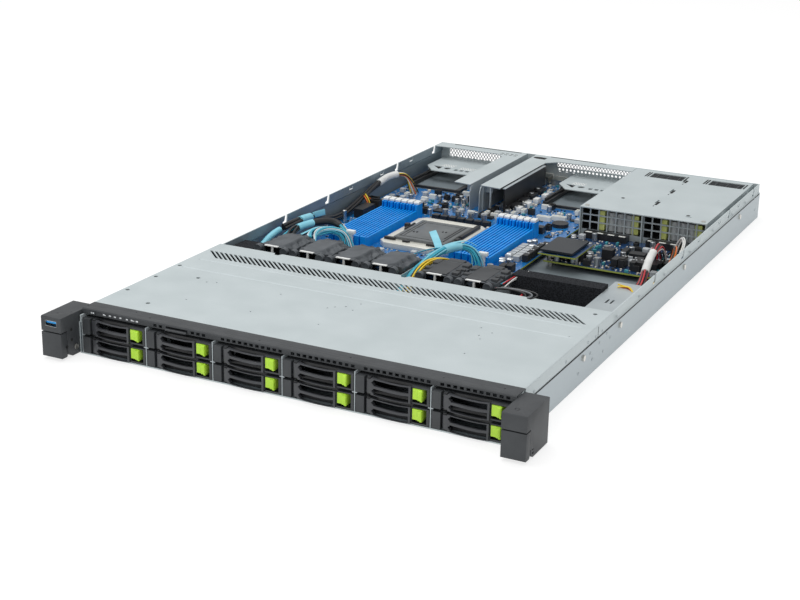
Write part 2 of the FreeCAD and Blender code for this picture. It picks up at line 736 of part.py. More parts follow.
def blade(start, lean):
    """One twisted blade from the hub to the tip; lean is the tip's angle to the fan's axis."""
    sections = []
    for radius, angle, chord in ((HUB_R - 1.0, lean * 0.62, 12.0), (ROTOR_R - 1.3, lean, 13.0)):
        along = Vector(math.sin(math.radians(angle)), math.cos(math.radians(angle)), 0)
        across = Vector(along.y, -along.x, 0)
        middle = Vector(0, start + ROTOR_L / 2, radius)
        sections.append([
            middle + along * (u * chord / 2) + across * (v * 0.5)
            for u, v in ((-1, -1), (1, -1), (1, 1), (-1, 1))
        ])
    return facet_loft(sections)


def rotor(start, lean, hub_span):
    """Hub and blades; the hub runs on to just short of the housing's centre seat."""
    hub = prism("y", ngon(12, HUB_R), *hub_span)
    master = blade(start, lean)
    blades = []
    for k in range(BLADES):
        copy = master.copy()
        copy.rotate(Vector(0, 0, 0), Vector(0, 1, 0), 360.0 * k / BLADES)
        blades.append(copy)
    return fuse([hub] + blades)


def fan_rotor(index):
    """The two rotors of one fan; the rear one has its blades the other way."""
    seat = (FAN_L / 2 - SEAT_HALF, FAN_L / 2 + SEAT_HALF)
    front = rotor(4.0, 38.0, (4.0, seat[0] - 0.3))
    rear = rotor(FAN_L - 4.0 - ROTOR_L, -38.0, (seat[1] + 0.3, FAN_L - 4.0))
    return [moved(r, fan_x(index), FAN_Y, FAN_Z) for r in (front, rear)]


def air_blocks():
    """Foam blocks that close the spaces beside the fans."""
    x0 = fan_x(FAN_COUNT - 1) + FAN / 2 + 1.5 + THIN + 2.0
    back = FAN_Y + FAN_L + 4.0
    right = box(x0, CHANNEL_X[0], back - FOAM_T, back, SHEET, HEIGHT - 1.5)
    left_x = (-UPPER_INNER + 2.0, fan_x(0) - FAN / 2 - 1.5 - THIN)
    front, rear = FAN_Y - 14.0, FAN_Y + BLOCK_REAR
    left = [(front, SHEET), (front, 34.0), (front + 4.0, 37.0), (rear, 37.0), (rear, SHEET)]
    return [right, prism("x", left, *left_x)]


# ---------------------------------------------------------------- motherboard

POST_R = 3.0
POST_EDGE = 12.0           # board edge to a post


def board_posts():
    left, right = BOARD_X0 + POST_EDGE, BOARD_X1 - POST_EDGE
    front, middle, rear = BOARD_Y + 20.0, BOARD_Y + 250.0, BOARD_Y + 425.0
    return [(left, front), (CPU_X - 5.0, front), (right, front), (left, middle), (right, middle),
            (CPU_X - 46.0, rear), (CPU_X - 33.0, BOARD_Y + 288.0), (right - 75.0, rear)]


def motherboard():
    outline = [
        (BOARD_X0, BOARD_Y),
        (BOARD_X1 - 6.0, BOARD_Y),
        (BOARD_X1, BOARD_Y + 6.0),
        (BOARD_X1, BOARD_Y + BOARD_L),
        (BOARD_X0, BOARD_Y + BOARD_L),
    ]
    return prism("z", outline, BOARD_Z, BOARD_TOP)


def bank_x(bank):
    return CPU_X + (BANK_OFFSET if bank else -BANK_OFFSET)


def slot_xs():
    first = -(SLOT_COUNT - 1) / 2 * SLOT_PITCH
    return [bank_x(bank) + first + k * SLOT_PITCH for bank in range(2) for k in range(SLOT_COUNT)]


LATCH_PIVOT = (SLOT_Y + SLOT_L - LATCH_L / 2, BOARD_TOP + 4.0)


def dimm_socket(x):
    """Long socket with a module groove, and a round-fronted tower at the rear that holds the latch."""
    y1 = SLOT_Y + SLOT_L
    tower_y = y1 - TOWER_L
    side = [
        (SLOT_Y, BOARD_TOP),
        (SLOT_Y, SLOT_TOP + 1.5),
        (SLOT_Y + 3.0, SLOT_TOP + 1.5),
        (SLOT_Y + 4.0, SLOT_TOP),
        (tower_y + 1.0, SLOT_TOP),
        (tower_y + 1.0, BOARD_TOP),
    ]
    body = prism("x", side, x - SLOT_W / 2, x + SLOT_W / 2)
    half = SLOT_W / 2
    plan = [
        (x - half, y1), (x - half, tower_y + 2.2), (x - half + 1.4, tower_y + 0.5), (x, tower_y),
        (x + half - 1.4, tower_y + 0.5), (x + half, tower_y + 2.2), (x + half, y1),
    ]
    tower = prism("z", plan, BOARD_TOP, CHEEK_TOP)
    groove = box(x - 0.9, x + 0.9, SLOT_Y + 5.0, tower_y + 5.0, BOARD_TOP + 5.5, TOWER_TOP + 1)
    seat = box(x - 2.3, x + 2.3, y1 - LATCH_L - 3.0, y1 + 1, BOARD_TOP + 1.0, TOWER_TOP)
    return fuse([body, tower]).cut([groove, seat])


def dimm_latch(x):
    """White ejector latch at the rear of one socket: a stem between the cheeks and a wide head over them."""
    y, z = LATCH_PIVOT
    stem = [
        (y - 2.6, z - 2.0), (y - 2.6, z + 6.0), (y - 5.0, CHEEK_TOP), (y - 5.0, CHEEK_TOP + 1.0), (y + 2.4, CHEEK_TOP + 1.0),
        (y + 1.4, z + 6.0), (y + 2.2, z + 1.0), (y + 1.2, z - 2.2),
    ]
    low = CHEEK_TOP + 0.3
    head = [(y - 8.0, low), (y - 8.0, TOWER_TOP - 0.8), (y - 7.0, TOWER_TOP), (y + 1.0, TOWER_TOP), (y + 4.4, TOWER_TOP - 1.4),
            (y + 4.4, low)]
    return fuse([prism("x", stem, x - 2.0, x + 2.0), prism("x", head, x - 3.2, x + 3.2)])


def cpu_socket():
    """Socket frame with a window and cut corners, and the cover that protects the contacts."""
    w, d = 44.0, 57.5
    frame = [
        (CPU_X - w, CPU_Y - d + 9), (CPU_X - w + 9, CPU_Y - d), (CPU_X + w - 9, CPU_Y - d), (CPU_X + w, CPU_Y - d + 9),
        (CPU_X + w, CPU_Y + d - 9), (CPU_X + w - 9, CPU_Y + d), (CPU_X - w + 9, CPU_Y + d), (CPU_X - w, CPU_Y + d - 9),
    ]
    ring = prism("z", frame, BOARD_TOP, BOARD_TOP + 7.5)
    ring = ring.cut(box(CPU_X - 34, CPU_X + 34, CPU_Y - 42, CPU_Y + 42, BOARD_TOP - 1, BOARD_TOP + 9))
    v, c = 38.0, 47.5
    cover = [
        (CPU_X - v, CPU_Y - c + 6), (CPU_X - v + 6, CPU_Y - c), (CPU_X + v - 6, CPU_Y - c), (CPU_X + v, CPU_Y - c + 6),
        (CPU_X + v, CPU_Y + c - 6), (CPU_X + v - 6, CPU_Y + c), (CPU_X - v + 6, CPU_Y + c), (CPU_X - v, CPU_Y + c - 6),
    ]
    lid = prism("z", cover, BOARD_TOP + 7.5, BOARD_TOP + 9.5)
    raised = box(CPU_X - 27, CPU_X + 27, CPU_Y - 34, CPU_Y + 34, BOARD_TOP + 9.5, BOARD_TOP + 12.0)
    plug = box(CPU_X - 33, CPU_X + 33, CPU_Y - 41, CPU_Y + 41, BOARD_TOP, BOARD_TOP + 7.5)
    return [ring, fuse([lid, raised, plug])]


def can(x, y, radius, height, sides=10):
    """Upright round part on a board, drawn with few sides."""
    return prism("z", ngon(sides, radius, x, y), BOARD_TOP, BOARD_TOP + height)


def row_of(count, pitch, make):
    return [make(k * pitch) for k in range(count)]


def board_components():
    """Chokes, capacitors, connectors and chips that stand on the two boards."""
    z = BOARD_TOP
    right_x = bank_x(1) + 27.0
    parts = []
    for x in (right_x, right_x + 9.0):
        parts += row_of(6, 9.0, lambda d, x=x: box(x, x + 7.5, SLOT_Y + 40 + d, SLOT_Y + 47.5 + d, z, z + 6.0))
    parts += row_of(3, 12.0, lambda d: can(right_x + 4 + d % 24, SLOT_Y - 34 + d, 3.4, 9.5))
    for bank in range(2):
        x = bank_x(bank) - 27.0
        parts.append(box(x - 8, x + 6, BOARD_Y + 34, BOARD_Y + 46, z, z + 12.0))
        parts += row_of(3, 17.0, lambda d, x=x: box(x + 10 + d, x + 24 + d, BOARD_Y + 8, BOARD_Y + 16, z, z + 9.0))
    rear = CPU_Y + 74.0
    parts += row_of(7, 11.0, lambda d: box(CPU_X - 38 + d, CPU_X - 29.5 + d, rear, rear + 8.5, z, z + 6.0))
    parts += row_of(4, 17.0, lambda d: can(CPU_X - 28 + d, rear + 17, 3.6, 10.0))
    parts += row_of(3, 26.0, lambda d: box(BOARD_X0 + 34 + d, BOARD_X0 + 48 + d, rear + 30, rear + 44, z, z + 2.2))
    parts.append(box(RISER_RIGHT_X + 6, RISER_RIGHT_X + 28, rear + 34, rear + 56, z, z + 3.0))
    parts.append(box(BOARD_X0 + 14, BOARD_X0 + 26, CPU_Y + 34, CPU_Y + 66, z, z + 11.0))
    parts.append(can(BOARD_X1 - 22, rear + 50, 10.0, 4.5, 16))
    parts += row_of(3, 12.0, lambda d: box(BOARD_X1 - 60 + d, BOARD_X1 - 52 + d, rear + 8, rear + 18, z, z + 8.0))
    parts += power_parts()
    return parts


# ---------------------------------------------------------------- risers and network-card cages


def riser_cages():
    """Two folded brackets: each has a plate over its card, an arm along the rear wall and an upright web."""
    arm_y = REAR_Y - SHEET - 22.0
    top = RISER_TOP - RISER_SHEET
    left_plan = [
        (RISER_LEFT_X - 22.8, RISER_Y + 3.5),
        (RISER_LEFT_X, RISER_Y),
        (RISER_LEFT_X, REAR_Y - SHEET),
        (-UPPER_INNER, REAR_Y - SHEET),
        (-UPPER_INNER, arm_y),
        (RISER_LEFT_X - 34.0, arm_y),
        (RISER_LEFT_X - 22.8, arm_y - 12.0),
    ]
    right_plan = [
        (RISER_RIGHT_X, RISER_Y + 4.0),
        (RISER_RIGHT_X + 27.0, RISER_Y + 1.0),
        (RISER_RIGHT_X + 27.0, arm_y - 14.0),
        (RISER_RIGHT_X + 41.0, arm_y),
        (PSU_X0, arm_y),
        (PSU_X0, REAR_Y - SHEET),
        (RISER_RIGHT_X, REAR_Y - SHEET),
    ]
    oval = box(RISER_RIGHT_X + 8, RISER_RIGHT_X + 20, arm_y + 2, arm_y + 12, top - 1, RISER_TOP + 1)
    corner = 9.0
    web_side = [
        (RISER_Y, BOARD_TOP),
        (RISER_Y, top - corner),
        (RISER_Y + corner * 0.3, top - corner * 0.3),
        (RISER_Y + corner, top),
        (REAR_Y - SHEET, top),
        (REAR_Y - SHEET, SLOT_BAND),
        (REAR_Y - SHEET - 30.0, SLOT_BAND),
        (REAR_Y - SHEET - 40.0, BOARD_TOP),
    ]
    brackets = []
    for plan, web_x in ((left_plan, RISER_LEFT_X - RISER_SHEET), (right_plan, RISER_RIGHT_X)):
        plate = prism("z", plan, top, RISER_TOP)
        web = prism("x", web_side, web_x, web_x + RISER_SHEET)
        brackets.append(fuse([plate, web]))
    brackets[1] = brackets[1].cut(oval)
    cards = []
    for x in (RISER_LEFT_X - RISER_SHEET - 1.6, RISER_RIGHT_X + RISER_SHEET):
        cards.append(box(x, x + 1.6, RISER_Y + 8, RISER_Y + 118, BOARD_TOP, top))
    sockets = [
        box(RISER_LEFT_X - 10.8, RISER_LEFT_X - 2.6, RISER_Y + 16, RISER_Y + 105, 31.0, 38.5),
        box(RISER_RIGHT_X + 2.6, RISER_RIGHT_X + 10.8, RISER_Y + 16, RISER_Y + 105, 31.0, 38.5),
    ]
    return brackets + cards + sockets


def net_cages():
    """Low cages at the rear for network cards: tray, top sheet with cut-outs and two side walls."""
    y0 = REAR_Y - NET_L
    y1 = REAR_Y - SHEET
    cages = []
    for x0 in (NET_LEFT, NET_RIGHT):
        plan = [(x0, y0 + 22), (x0 + 16, y0), (x0 + NET_W, y0), (x0 + NET_W, y1), (x0, y1)]
        plate = prism("z", plan, NET_TOP - 1.0, NET_TOP)
        walls = [box(x, x + 1.0, y0 + 24, y1, BOARD_TOP, NET_TOP) for x in (x0, x0 + NET_W - 1.0)]
        floor = box(x0, x0 + NET_W, y0 - TRAY_REACH, y1, BOARD_TOP, BOARD_TOP + 0.8)
        cage = fuse([plate, floor] + walls)
        holes = [
            prism("z", [(x0 + 8, y0 + 24), (x0 + 22, y0 + 10), (x0 + 22, y0 + 24)], NET_TOP - 2, NET_TOP + 1),
            prism("z", ngon(10, 4.5, x0 + 31, y0 + 18), NET_TOP - 2, NET_TOP + 1),
        ]
        holes += [
            box(x0 + 42 + 8 * k, x0 + 47 + 8 * k, y0 + 12, y0 + 19, NET_TOP - 2, NET_TOP + 1)
            for k in range(3)
        ]
        cages.append(cage.cut(holes))
    return cages


# ---------------------------------------------------------------- power


def psu_x(side):
    return PSU_X0 + CAGE_SHEET + PSU_GAP + side * (PSU_W + CAGE_SHEET + 2 * PSU_GAP)


def psu_cage():
    """Folded cage over both supplies, with a middle wall, window openings at the rear and slots on its seam."""
    top = PSU_TOP + PSU_GAP
    y0 = PSU_CAGE_Y
    y1 = REAR_Y - SHEET
    roof = box(PSU_X0, PSU_X1, y0, y1, top, top + CAGE_SHEET)
    pieces = [roof]
    for k in range(3):
        x = PSU_X0 + k * (PSU_W + CAGE_SHEET + 2 * PSU_GAP)
        pieces.append(box(x, x + CAGE_SHEET, y0, y1, SHEET, top))
    cage = fuse(pieces)
    seam = (PSU_X0 + PSU_X1) / 2
    cuts = []
    for side in range(2):
        x = psu_x(side) + 26.0
        cuts.append(box(x, x + 42.0, y1 - 34.0, y1 - 10.0, top - 0.01, top + CAGE_SHEET + 1))
    for station in (58.0, 116.0, 169.0):
        cuts.append(box(seam - 4.0, seam - 2.2, y0 + station, y0 + station + 16, top - 0.01, top + CAGE_SHEET + 1))
    cuts.append(box(PSU_X1 - 30, PSU_X1 - 23, y0 + 18, y0 + 20, top - 0.01, top + CAGE_SHEET + 1))
    return cage.cut(cuts)


OPEN_END = 44.0            # length of a supply that shows through its grille
GRILLE_BAR = 1.6
TONGUE_Z = BOARD_TOP + 2.4
TONGUE_T = 1.6


def psu(side):
    """Power supply: sheet case, open inner end with a grille and large parts behind it, handle, inlet, latch."""
    x0 = psu_x(side)
    x1 = x0 + PSU_W
    y0 = PSU_CAGE_Y + PSU_INSET
    y1 = REAR_Y + PSU_OUT
    wall = 1.0
    case = box(x0, x1, y0, y1, PSU_Z, PSU_TOP)
    room = box(x0 + wall, x1 - wall, y0 - 1, y0 + OPEN_END, PSU_Z + wall + 12.0, PSU_TOP - wall)
    inlet = box(x0 + 8, x0 + 35, y1 - 14, y1 + 1, PSU_Z + 10, PSU_Z + 29)
    fan_well = prism("y", ngon(16, 17.0, x1 - 20.5, (PSU_Z + PSU_TOP) / 2), y1 - 6, y1 + 1)
    case = case.cut([room, inlet, fan_well])
    bars = []
    for k in range(1, 7):
        x = x0 + k * PSU_W / 7 - GRILLE_BAR / 2
        bars.append(box(x, x + GRILLE_BAR, y0, y0 + 1.2, PSU_Z + 12.0, PSU_TOP - 0.5))
    for z in (PSU_Z + 21.5, PSU_Z + 30.0):
        bars.append(box(x0 + 0.5, x1 - 0.5, y0, y0 + 1.2, z, z + GRILLE_BAR))
    blocks = [
        box(x0 + 20, x0 + 27, y0 + 4, y0 + 30, PSU_Z + 12, PSU_TOP - 3),
        box(x0 + 60, x0 + 68, y0 + 5, y0 + 26, PSU_Z + 12, PSU_TOP - 4),
    ]
    for k in range(3):
        blocks.append(prism("z", ngon(8, 4.6, x0 + 35 + 10.5 * k, y0 + 9), PSU_Z + 12, PSU_TOP - 4))
    tongue = box(x0 + 14, x0 + 58, y0 - 10.0, y0 + 0.5, TONGUE_Z, TONGUE_Z + TONGUE_T)
    handle_z = (PSU_Z + PSU_TOP) / 2
    grip = fuse([
        box(x0 + 38.5, x0 + 41.5, y1 - 0.5, y1 + 20, handle_z - 12, handle_z - 9),
        box(x0 + 38.5, x0 + 41.5, y1 - 0.5, y1 + 20, handle_z + 9, handle_z + 12),
        box(x0 + 38.5, x0 + 41.5, y1 + 17, y1 + 20, handle_z - 12, handle_z + 12),
    ])
    latch = box(x0 + 2, x0 + 6, y1 - 0.5, y1 + 9, PSU_Z + 8, PSU_Z + 26)
    return fuse([case] + bars + blocks + [tongue, grip, latch])


def power_board():
    """Board in front of the supplies, with the two card-edge connectors that they plug into."""
    x0 = PSU_X0 + 2.7
    x1 = INNER - 9.0
    y0 = BOARD_Y + 142.0
    y1 = PSU_CAGE_Y - 1.0
    board = box(x0, x1, y0, y1, BOARD_Z, BOARD_TOP)
    sockets = []
    for side in range(2):
        x = psu_x(side)
        shell = box(x + 10, x + 62, y1 - 14.0, y1 - 2.0, BOARD_TOP, BOARD_TOP + 7.5)
        mouth = box(x + 13, x + 59, y1 - 9.0, y1 - 1.0, TONGUE_Z - 0.4, TONGUE_Z + TONGUE_T + 0.4)
        sockets.append(shell.cut(mouth))
    return fuse([board] + sockets)


def power_parts():
    """Relays, chokes and capacitors along the front of the power board."""
    z = BOARD_TOP
    x0 = PSU_X0 + 2.7
    y0 = BOARD_Y + 142.0
    parts = []
    for x, y, w, d, h in (
        (14, 10, 7, 15, 9), (25, 12, 7, 15, 9), (35, 12, 7, 15, 9), (74, 14, 7, 13, 9), (82, 14, 7, 13, 9),
        (98, 14, 8, 20, 10), (108, 14, 8, 20, 10), (118, 14, 8, 20, 10), (56, 34, 12, 12, 12), (84, 44, 18, 12, 9),
    ):
        parts.append(box(x0 + x, x0 + x + w, y0 + y, y0 + y + d, z, z + h))
    for x, y in ((50, 10), (60, 8), (46, 24), (116, 8), (54, 56)):
        parts.append(can(x0 + x, y0 + y, 3.4, 10.0))
    return parts


CARD_Z = 19.0


def option_card():
    """Small card on posts over the two boards' joint, under a dark heat-spreading plate."""
    x0 = PSU_X0 + 0.6
    y0 = BOARD_Y + 130.0
    width = 44.0
    depth = 60.0
    card = box(x0, x0 + width, y0, y0 + depth, CARD_Z, CARD_Z + 1.6)
    plate = box(x0 + 1.5, x0 + width - 5.0, y0 + 2.5, y0 + depth - 3.0, CARD_Z + 3.0, CARD_Z + 5.4)
    blocks = [box(x0 + 8, x0 + 20, y0 + 12, y0 + 26, CARD_Z + 1.6, CARD_Z + 3.0)]
    posts = [prism("z", ngon(6, 2.6, x0 + x, y0 + y), BOARD_TOP, CARD_Z) for x, y in ((6, 20), (6, 52), (38, 20), (38, 52))]
    return [fuse([card, plate] + blocks + posts)]


# ---------------------------------------------------------------- connectors, cables, fasteners


def io_ports():
    """Front USB shell with its tongue, the light pipes, and the rear connectors."""
    shell = box(
        USB_X - USB_OUTER[0] / 2, USB_X + USB_OUTER[0] / 2,
        EAR_FRONT + 0.4, EAR_FRONT + USB_L + 0.4,
        USB_Z - USB_OUTER[1] / 2, USB_Z + USB_OUTER[1] / 2,
    )
    room = box(
        USB_X - USB_OUTER[0] / 2 + USB_WALL, USB_X + USB_OUTER[0] / 2 - USB_WALL,
        EAR_FRONT - 1, EAR_FRONT + USB_L - 1.0,
        USB_Z - USB_OUTER[1] / 2 + USB_WALL, USB_Z + USB_OUTER[1] / 2 - USB_WALL,
    )
    tongue = box(USB_X - 5.5, USB_X + 5.5, EAR_FRONT + 1.4, EAR_FRONT + USB_L, USB_Z + 0.2, USB_Z + 2.1)
    pieces = [fuse([shell.cut(room), tongue])]
    for x in LIGHTS_X:
        z = BUTTON_Z - LIGHT[1] / 2
        pieces.append(box(x, x + LIGHT[0], BEZEL_Y + 0.3, BEZEL_Y + BEZEL_WALL, z, z + LIGHT[1]))
    for x0, width, height in PORT_HOLES:
        port = box(PORTS_X + x0 + 0.3, PORTS_X + x0 + width - 0.3, REAR_Y - 22, REAR_Y + 0.4, BOARD_TOP, PORT_BAND[0] + height - 0.3)
        mouth = box(PORTS_X + x0 + 2, PORTS_X + x0 + width - 2, REAR_Y - 14, REAR_Y + 1, BOARD_TOP + 1, PORT_BAND[0] + height - 2)
        pieces.append(port.cut(mouth))
    return pieces


CABLE_SIDES = 6


def tube(points, radius, bend):
    """A cable along straight runs, with a tangent arc of one radius at each corner."""
    points = [Vector(*p) for p in points]
    edges = []
    start = points[0]
    for before, corner, after in zip(points, points[1:], points[2:]):
        inward = (corner - before).normalize()
        outward = (after - corner).normalize()
        turn = inward.getAngle(outward)
        back = bend * math.tan(turn / 2)
        first = corner - inward * back
        last = corner + outward * back
        centre = corner + (outward - inward).normalize() * (bend / math.cos(turn / 2))
        middle = centre + (corner - centre).normalize() * bend
        edges.append(Part.makeLine(start, first))
        edges.append(Part.Arc(first, middle, last).toShape())
        start = last
    edges.append(Part.makeLine(start, points[-1]))
    path = Part.Wire(edges)
    direction = points[1] - points[0]
    circle = Part.Wire(Part.makeCircle(radius, points[0], direction))
    corners = circle.discretize(CABLE_SIDES + 1)
    section = Part.Face(Part.makePolygon(corners))
    return path.makePipe(section)


def cables():
    """Harnesses held at both ends: fan and drive leads, the left-wall lead and the supply harness."""
    z = BOARD_TOP
    left = -UPPER_INNER + 6.0
    right = INNER - 18.3
    gap = (fan_x(3) + fan_x(4)) / 2
    front = FAN_Y - 24.0
    back = FAN_Y + FAN_L
    wall_lead = [
        (left, FAN_Y + BLOCK_REAR, 20), (left, FAN_Y + BLOCK_REAR + 12, 20), (left, back + 14, 33), (left + 6, CPU_Y - 70, 36), (left, CPU_Y - 15, 12),
        (left, CPU_Y + 40, 15), (left, CPU_Y + 125, 34), (left + 3, CPU_Y + 160, 32), (left + 3, CPU_Y + 160, z),
    ]
    fan_lead = [
        (FAN_X + 4, back, 30), (FAN_X - 21, back + 23, 37.5), (FAN_X - 21, back + 51, 37.5), (FAN_X - 6, SLOT_Y - 3, 36),
        (FAN_X + 22, SLOT_Y - 10, 28), (FAN_X + 22, SLOT_Y - 10, z),
    ]
    taped_lead = [
        (gap - 4, front, 14), (gap - 4, FAN_Y + 21, 34), (gap - 4, back + 3, 38), (gap - 3, SLOT_Y - 16, 38),
        (gap + 2, SLOT_Y + 2, 36), (gap + 14, SLOT_Y - 7, 30), (gap + 22, SLOT_Y - 12, 24), (gap + 22, SLOT_Y - 12, z),
    ]
    arched_lead = [
        (gap + 4.2, front, 14), (gap + 4.2, FAN_Y + 3, 35), (gap + 4.2, FAN_Y + 29, 39), (gap + 4.2, back + 3, 35),
        (gap + 16, back + 38, 24), (gap + 16, back + 38, z),
    ]
    supply_lead = [
        (right, back - 20, 22), (right, CPU_Y - 101, 20), (right - 6, CPU_Y - 64, 24), (right - 14, CPU_Y - 25, 33),
        (right - 19, CPU_Y + 38, 34), (right - 19, CPU_Y + 38, z),
    ]
    pale_lead = [
        (right + 9, back - 20, 20), (right + 9, CPU_Y + 10, 20), (right + 8, CPU_Y + 50, 35), (right - 12, CPU_Y + 66, 35),
        (right - 12, CPU_Y + 66, z),
    ]
    return [
        tube(wall_lead, 3.2, 8.0),
        tube(fan_lead, 3.8, 8.0),
        tube(taped_lead, 3.8, 8.0),
        tube(arched_lead, 3.2, 10.0),
        tube(supply_lead, 4.2, 9.0),
        tube(pale_lead, 2.4, 7.0),
    ]


def fasteners():
    """Board posts with their screws, studs for the slide rails, ear screws and cage screws."""
    pieces = []
    for x, y in board_posts():
        pieces.append(prism("z", ngon(6, POST_R, x, y), SHEET, BOARD_Z))
        pieces.append(prism("z", ngon(6, 3.0, x, y), BOARD_TOP, BOARD_TOP + 1.8))
    for x, y in ((PSU_X0 + 8, BOARD_Y + 150), (INNER - 14, BOARD_Y + 150), (PSU_X0 + 8, PSU_CAGE_Y - 30),
                 (INNER - 14, PSU_CAGE_Y - 30)):
        pieces.append(prism("z", ngon(6, POST_R, x, y), SHEET, BOARD_Z))
    for station in STUD_STATIONS:
        for sign in (-1, 1):
            y = FRONT + station
            low, high = sorted((sign * HALF, sign * (HALF + STUD_L)))
            pieces.append(prism("x", ngon(8, 3.0, y, STUD_Z), low, high))
    roof = PSU_TOP + PSU_GAP + CAGE_SHEET
    for x, y in ((PSU_X0 + 6, PSU_CAGE_Y + 8), (PSU_X1 - 6, PSU_CAGE_Y + 8)):
        pieces.append(prism("z", ngon(10, 2.6, x, y), roof, roof + 0.9))
    return pieces


def build():
    save("chassis_base", [chassis_base()])
    save("rear_panel", [rear_panel()])
    save("front_cover", [front_cover()])
    save("front_bezel", [front_bezel()])
    save("power_button", [power_button()])
    save("pull_tag", [pull_tag()])
    save("left_ear", [ear(-1)])
    save("right_ear", [ear(1)])
    save("left_ear_door", [ear_door(-1)])
    save("right_ear_door", [ear_door(1)])
    save("drive_cage", [drive_cage()])
    save("backplane", [backplane()])
    carrier = drive_carrier()
    lever = carrier_lever()
    for column in range(COLUMNS):
        for row in range(2):
            number = "%02d" % (2 * column + row + 1)
            place = bay(column, row)
            save("drive_carrier_" + number, [moved(piece, *place) for piece in carrier])
            save("carrier_lever_" + number, [moved(lever, *place)])
    save("fan_tray", fan_tray())
    housing = fan_housing()
    save("fan_housings", [moved(housing, fan_x(k), FAN_Y, FAN_Z) for k in range(FAN_COUNT)])
    for k in range(FAN_COUNT):
        save("fan_rotor_%d" % (k + 1), fan_rotor(k))
    save("air_blocks", air_blocks())
    save("motherboard", [motherboard()])
    save("board_components", board_components())
    save("cpu_socket", cpu_socket())
    save("dimm_sockets", [dimm_socket(x) for x in slot_xs()])
    save("dimm_latches", [dimm_latch(x) for x in slot_xs()])
    save("riser_cages", riser_cages())
    save("net_cages", net_cages())
    save("psu_cage", [psu_cage()])
    save("power_supply_1", [psu(0)])
    save("power_supply_2", [psu(1)])
    save("power_board", [power_board()])
    save("option_card", option_card())
    save("io_ports", io_ports())
    save("cables", cables())
    save("fasteners", fasteners())


build()
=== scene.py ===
# %% [markdown]
# # A one-unit rack server with its lid's rear half off
# The sheet metal, drives, fans and sockets come packed from CAD and stay exactly where they are. This
# lesson gives each of them the finish of its real material, and adds the small parts that a workshop would
# fit last: rubber fan mounts, wires, board parts, meshes and marks. Blender works in metres. Sizes here are
# written in millimetres and turned to metres where a tool takes them.

# %% Load the fixed frame and keep its box
import bpy
import math
import random
from mathutils import Matrix, Vector, noise


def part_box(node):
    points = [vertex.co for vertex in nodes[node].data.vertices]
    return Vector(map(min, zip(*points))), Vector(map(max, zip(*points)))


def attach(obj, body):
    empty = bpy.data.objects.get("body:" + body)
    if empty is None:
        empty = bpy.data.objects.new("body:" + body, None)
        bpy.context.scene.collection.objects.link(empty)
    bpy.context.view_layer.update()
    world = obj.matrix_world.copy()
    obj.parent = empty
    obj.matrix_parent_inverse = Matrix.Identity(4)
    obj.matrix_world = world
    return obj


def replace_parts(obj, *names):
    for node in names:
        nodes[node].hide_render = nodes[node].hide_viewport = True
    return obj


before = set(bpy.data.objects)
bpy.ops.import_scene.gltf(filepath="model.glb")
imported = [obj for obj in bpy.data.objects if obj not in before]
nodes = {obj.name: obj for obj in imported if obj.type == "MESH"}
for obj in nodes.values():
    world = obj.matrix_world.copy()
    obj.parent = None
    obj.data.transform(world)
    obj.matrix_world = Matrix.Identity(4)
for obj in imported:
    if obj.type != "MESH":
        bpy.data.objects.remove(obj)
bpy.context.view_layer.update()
MM = 0.001


def spot(x, y, z):
    """A point given in millimetres, in metres."""
    return Vector((x * MM, y * MM, z * MM))


# %% [markdown]
# ## Colours and nodes
# Paint and plastic are matched in sRGB hex values, the way a colour chart lists them, but a shader works in
# linear light. One function does that change, and another adds a shader node with its settings and its
# links, so each finish below reads as a short recipe.

# %% Linear colour from a hex value
def linear(code, alpha=1.0):
    """The linear colour of an sRGB hex value such as C3CCCE."""
    out = []
    for k in (0, 2, 4):
        v = int(code[k:k + 2], 16) / 255
        out.append(v / 12.92 if v <= 0.04045 else ((v + 0.055) / 1.055) ** 2.4)
    return (*out, alpha)


print("pale zinc in linear light:", [round(v, 3) for v in linear("C3CCCE")[:3]])


# %% Add one node with its settings and links
def add(tree, kind, settings=None, links=None):
    """Adds a node: settings name its properties or inputs, links name inputs and the sockets they take."""
    n = tree.nodes.new(kind)
    for key, value in (settings or {}).items():
        if isinstance(key, int) or key in n.inputs:
            n.inputs[key].default_value = value
        else:
            setattr(n, key, value)
    for key, socket in (links or {}).items():
        tree.links.new(socket, n.inputs[key])
    return n


def start_material(name, **shader):
    """An empty material with one Principled shader, and the shader's plain values set on its own sockets."""
    m = bpy.data.materials.new(name)
    m.use_nodes = True
    m.node_tree.nodes.clear()
    bsdf = add(m.node_tree, "ShaderNodeBsdfPrincipled", shader)
    add(m.node_tree, "ShaderNodeOutputMaterial", links={"Surface": bsdf.outputs[0]})
    place = add(m.node_tree, "ShaderNodeTexCoord")
    return m, m.node_tree, bsdf, place.outputs["Object"]


def ramp(tree, source, stops):
    """A colour ramp through (position, hex) stops."""
    n = add(tree, "ShaderNodeValToRGB", links={0: source})
    while len(n.color_ramp.elements) < len(stops):
        n.color_ramp.elements.new(0.5)
    for element, (at, code) in zip(n.color_ramp.elements, stops):
        element.position = at
        element.color = linear(code)
    return n.outputs[0]
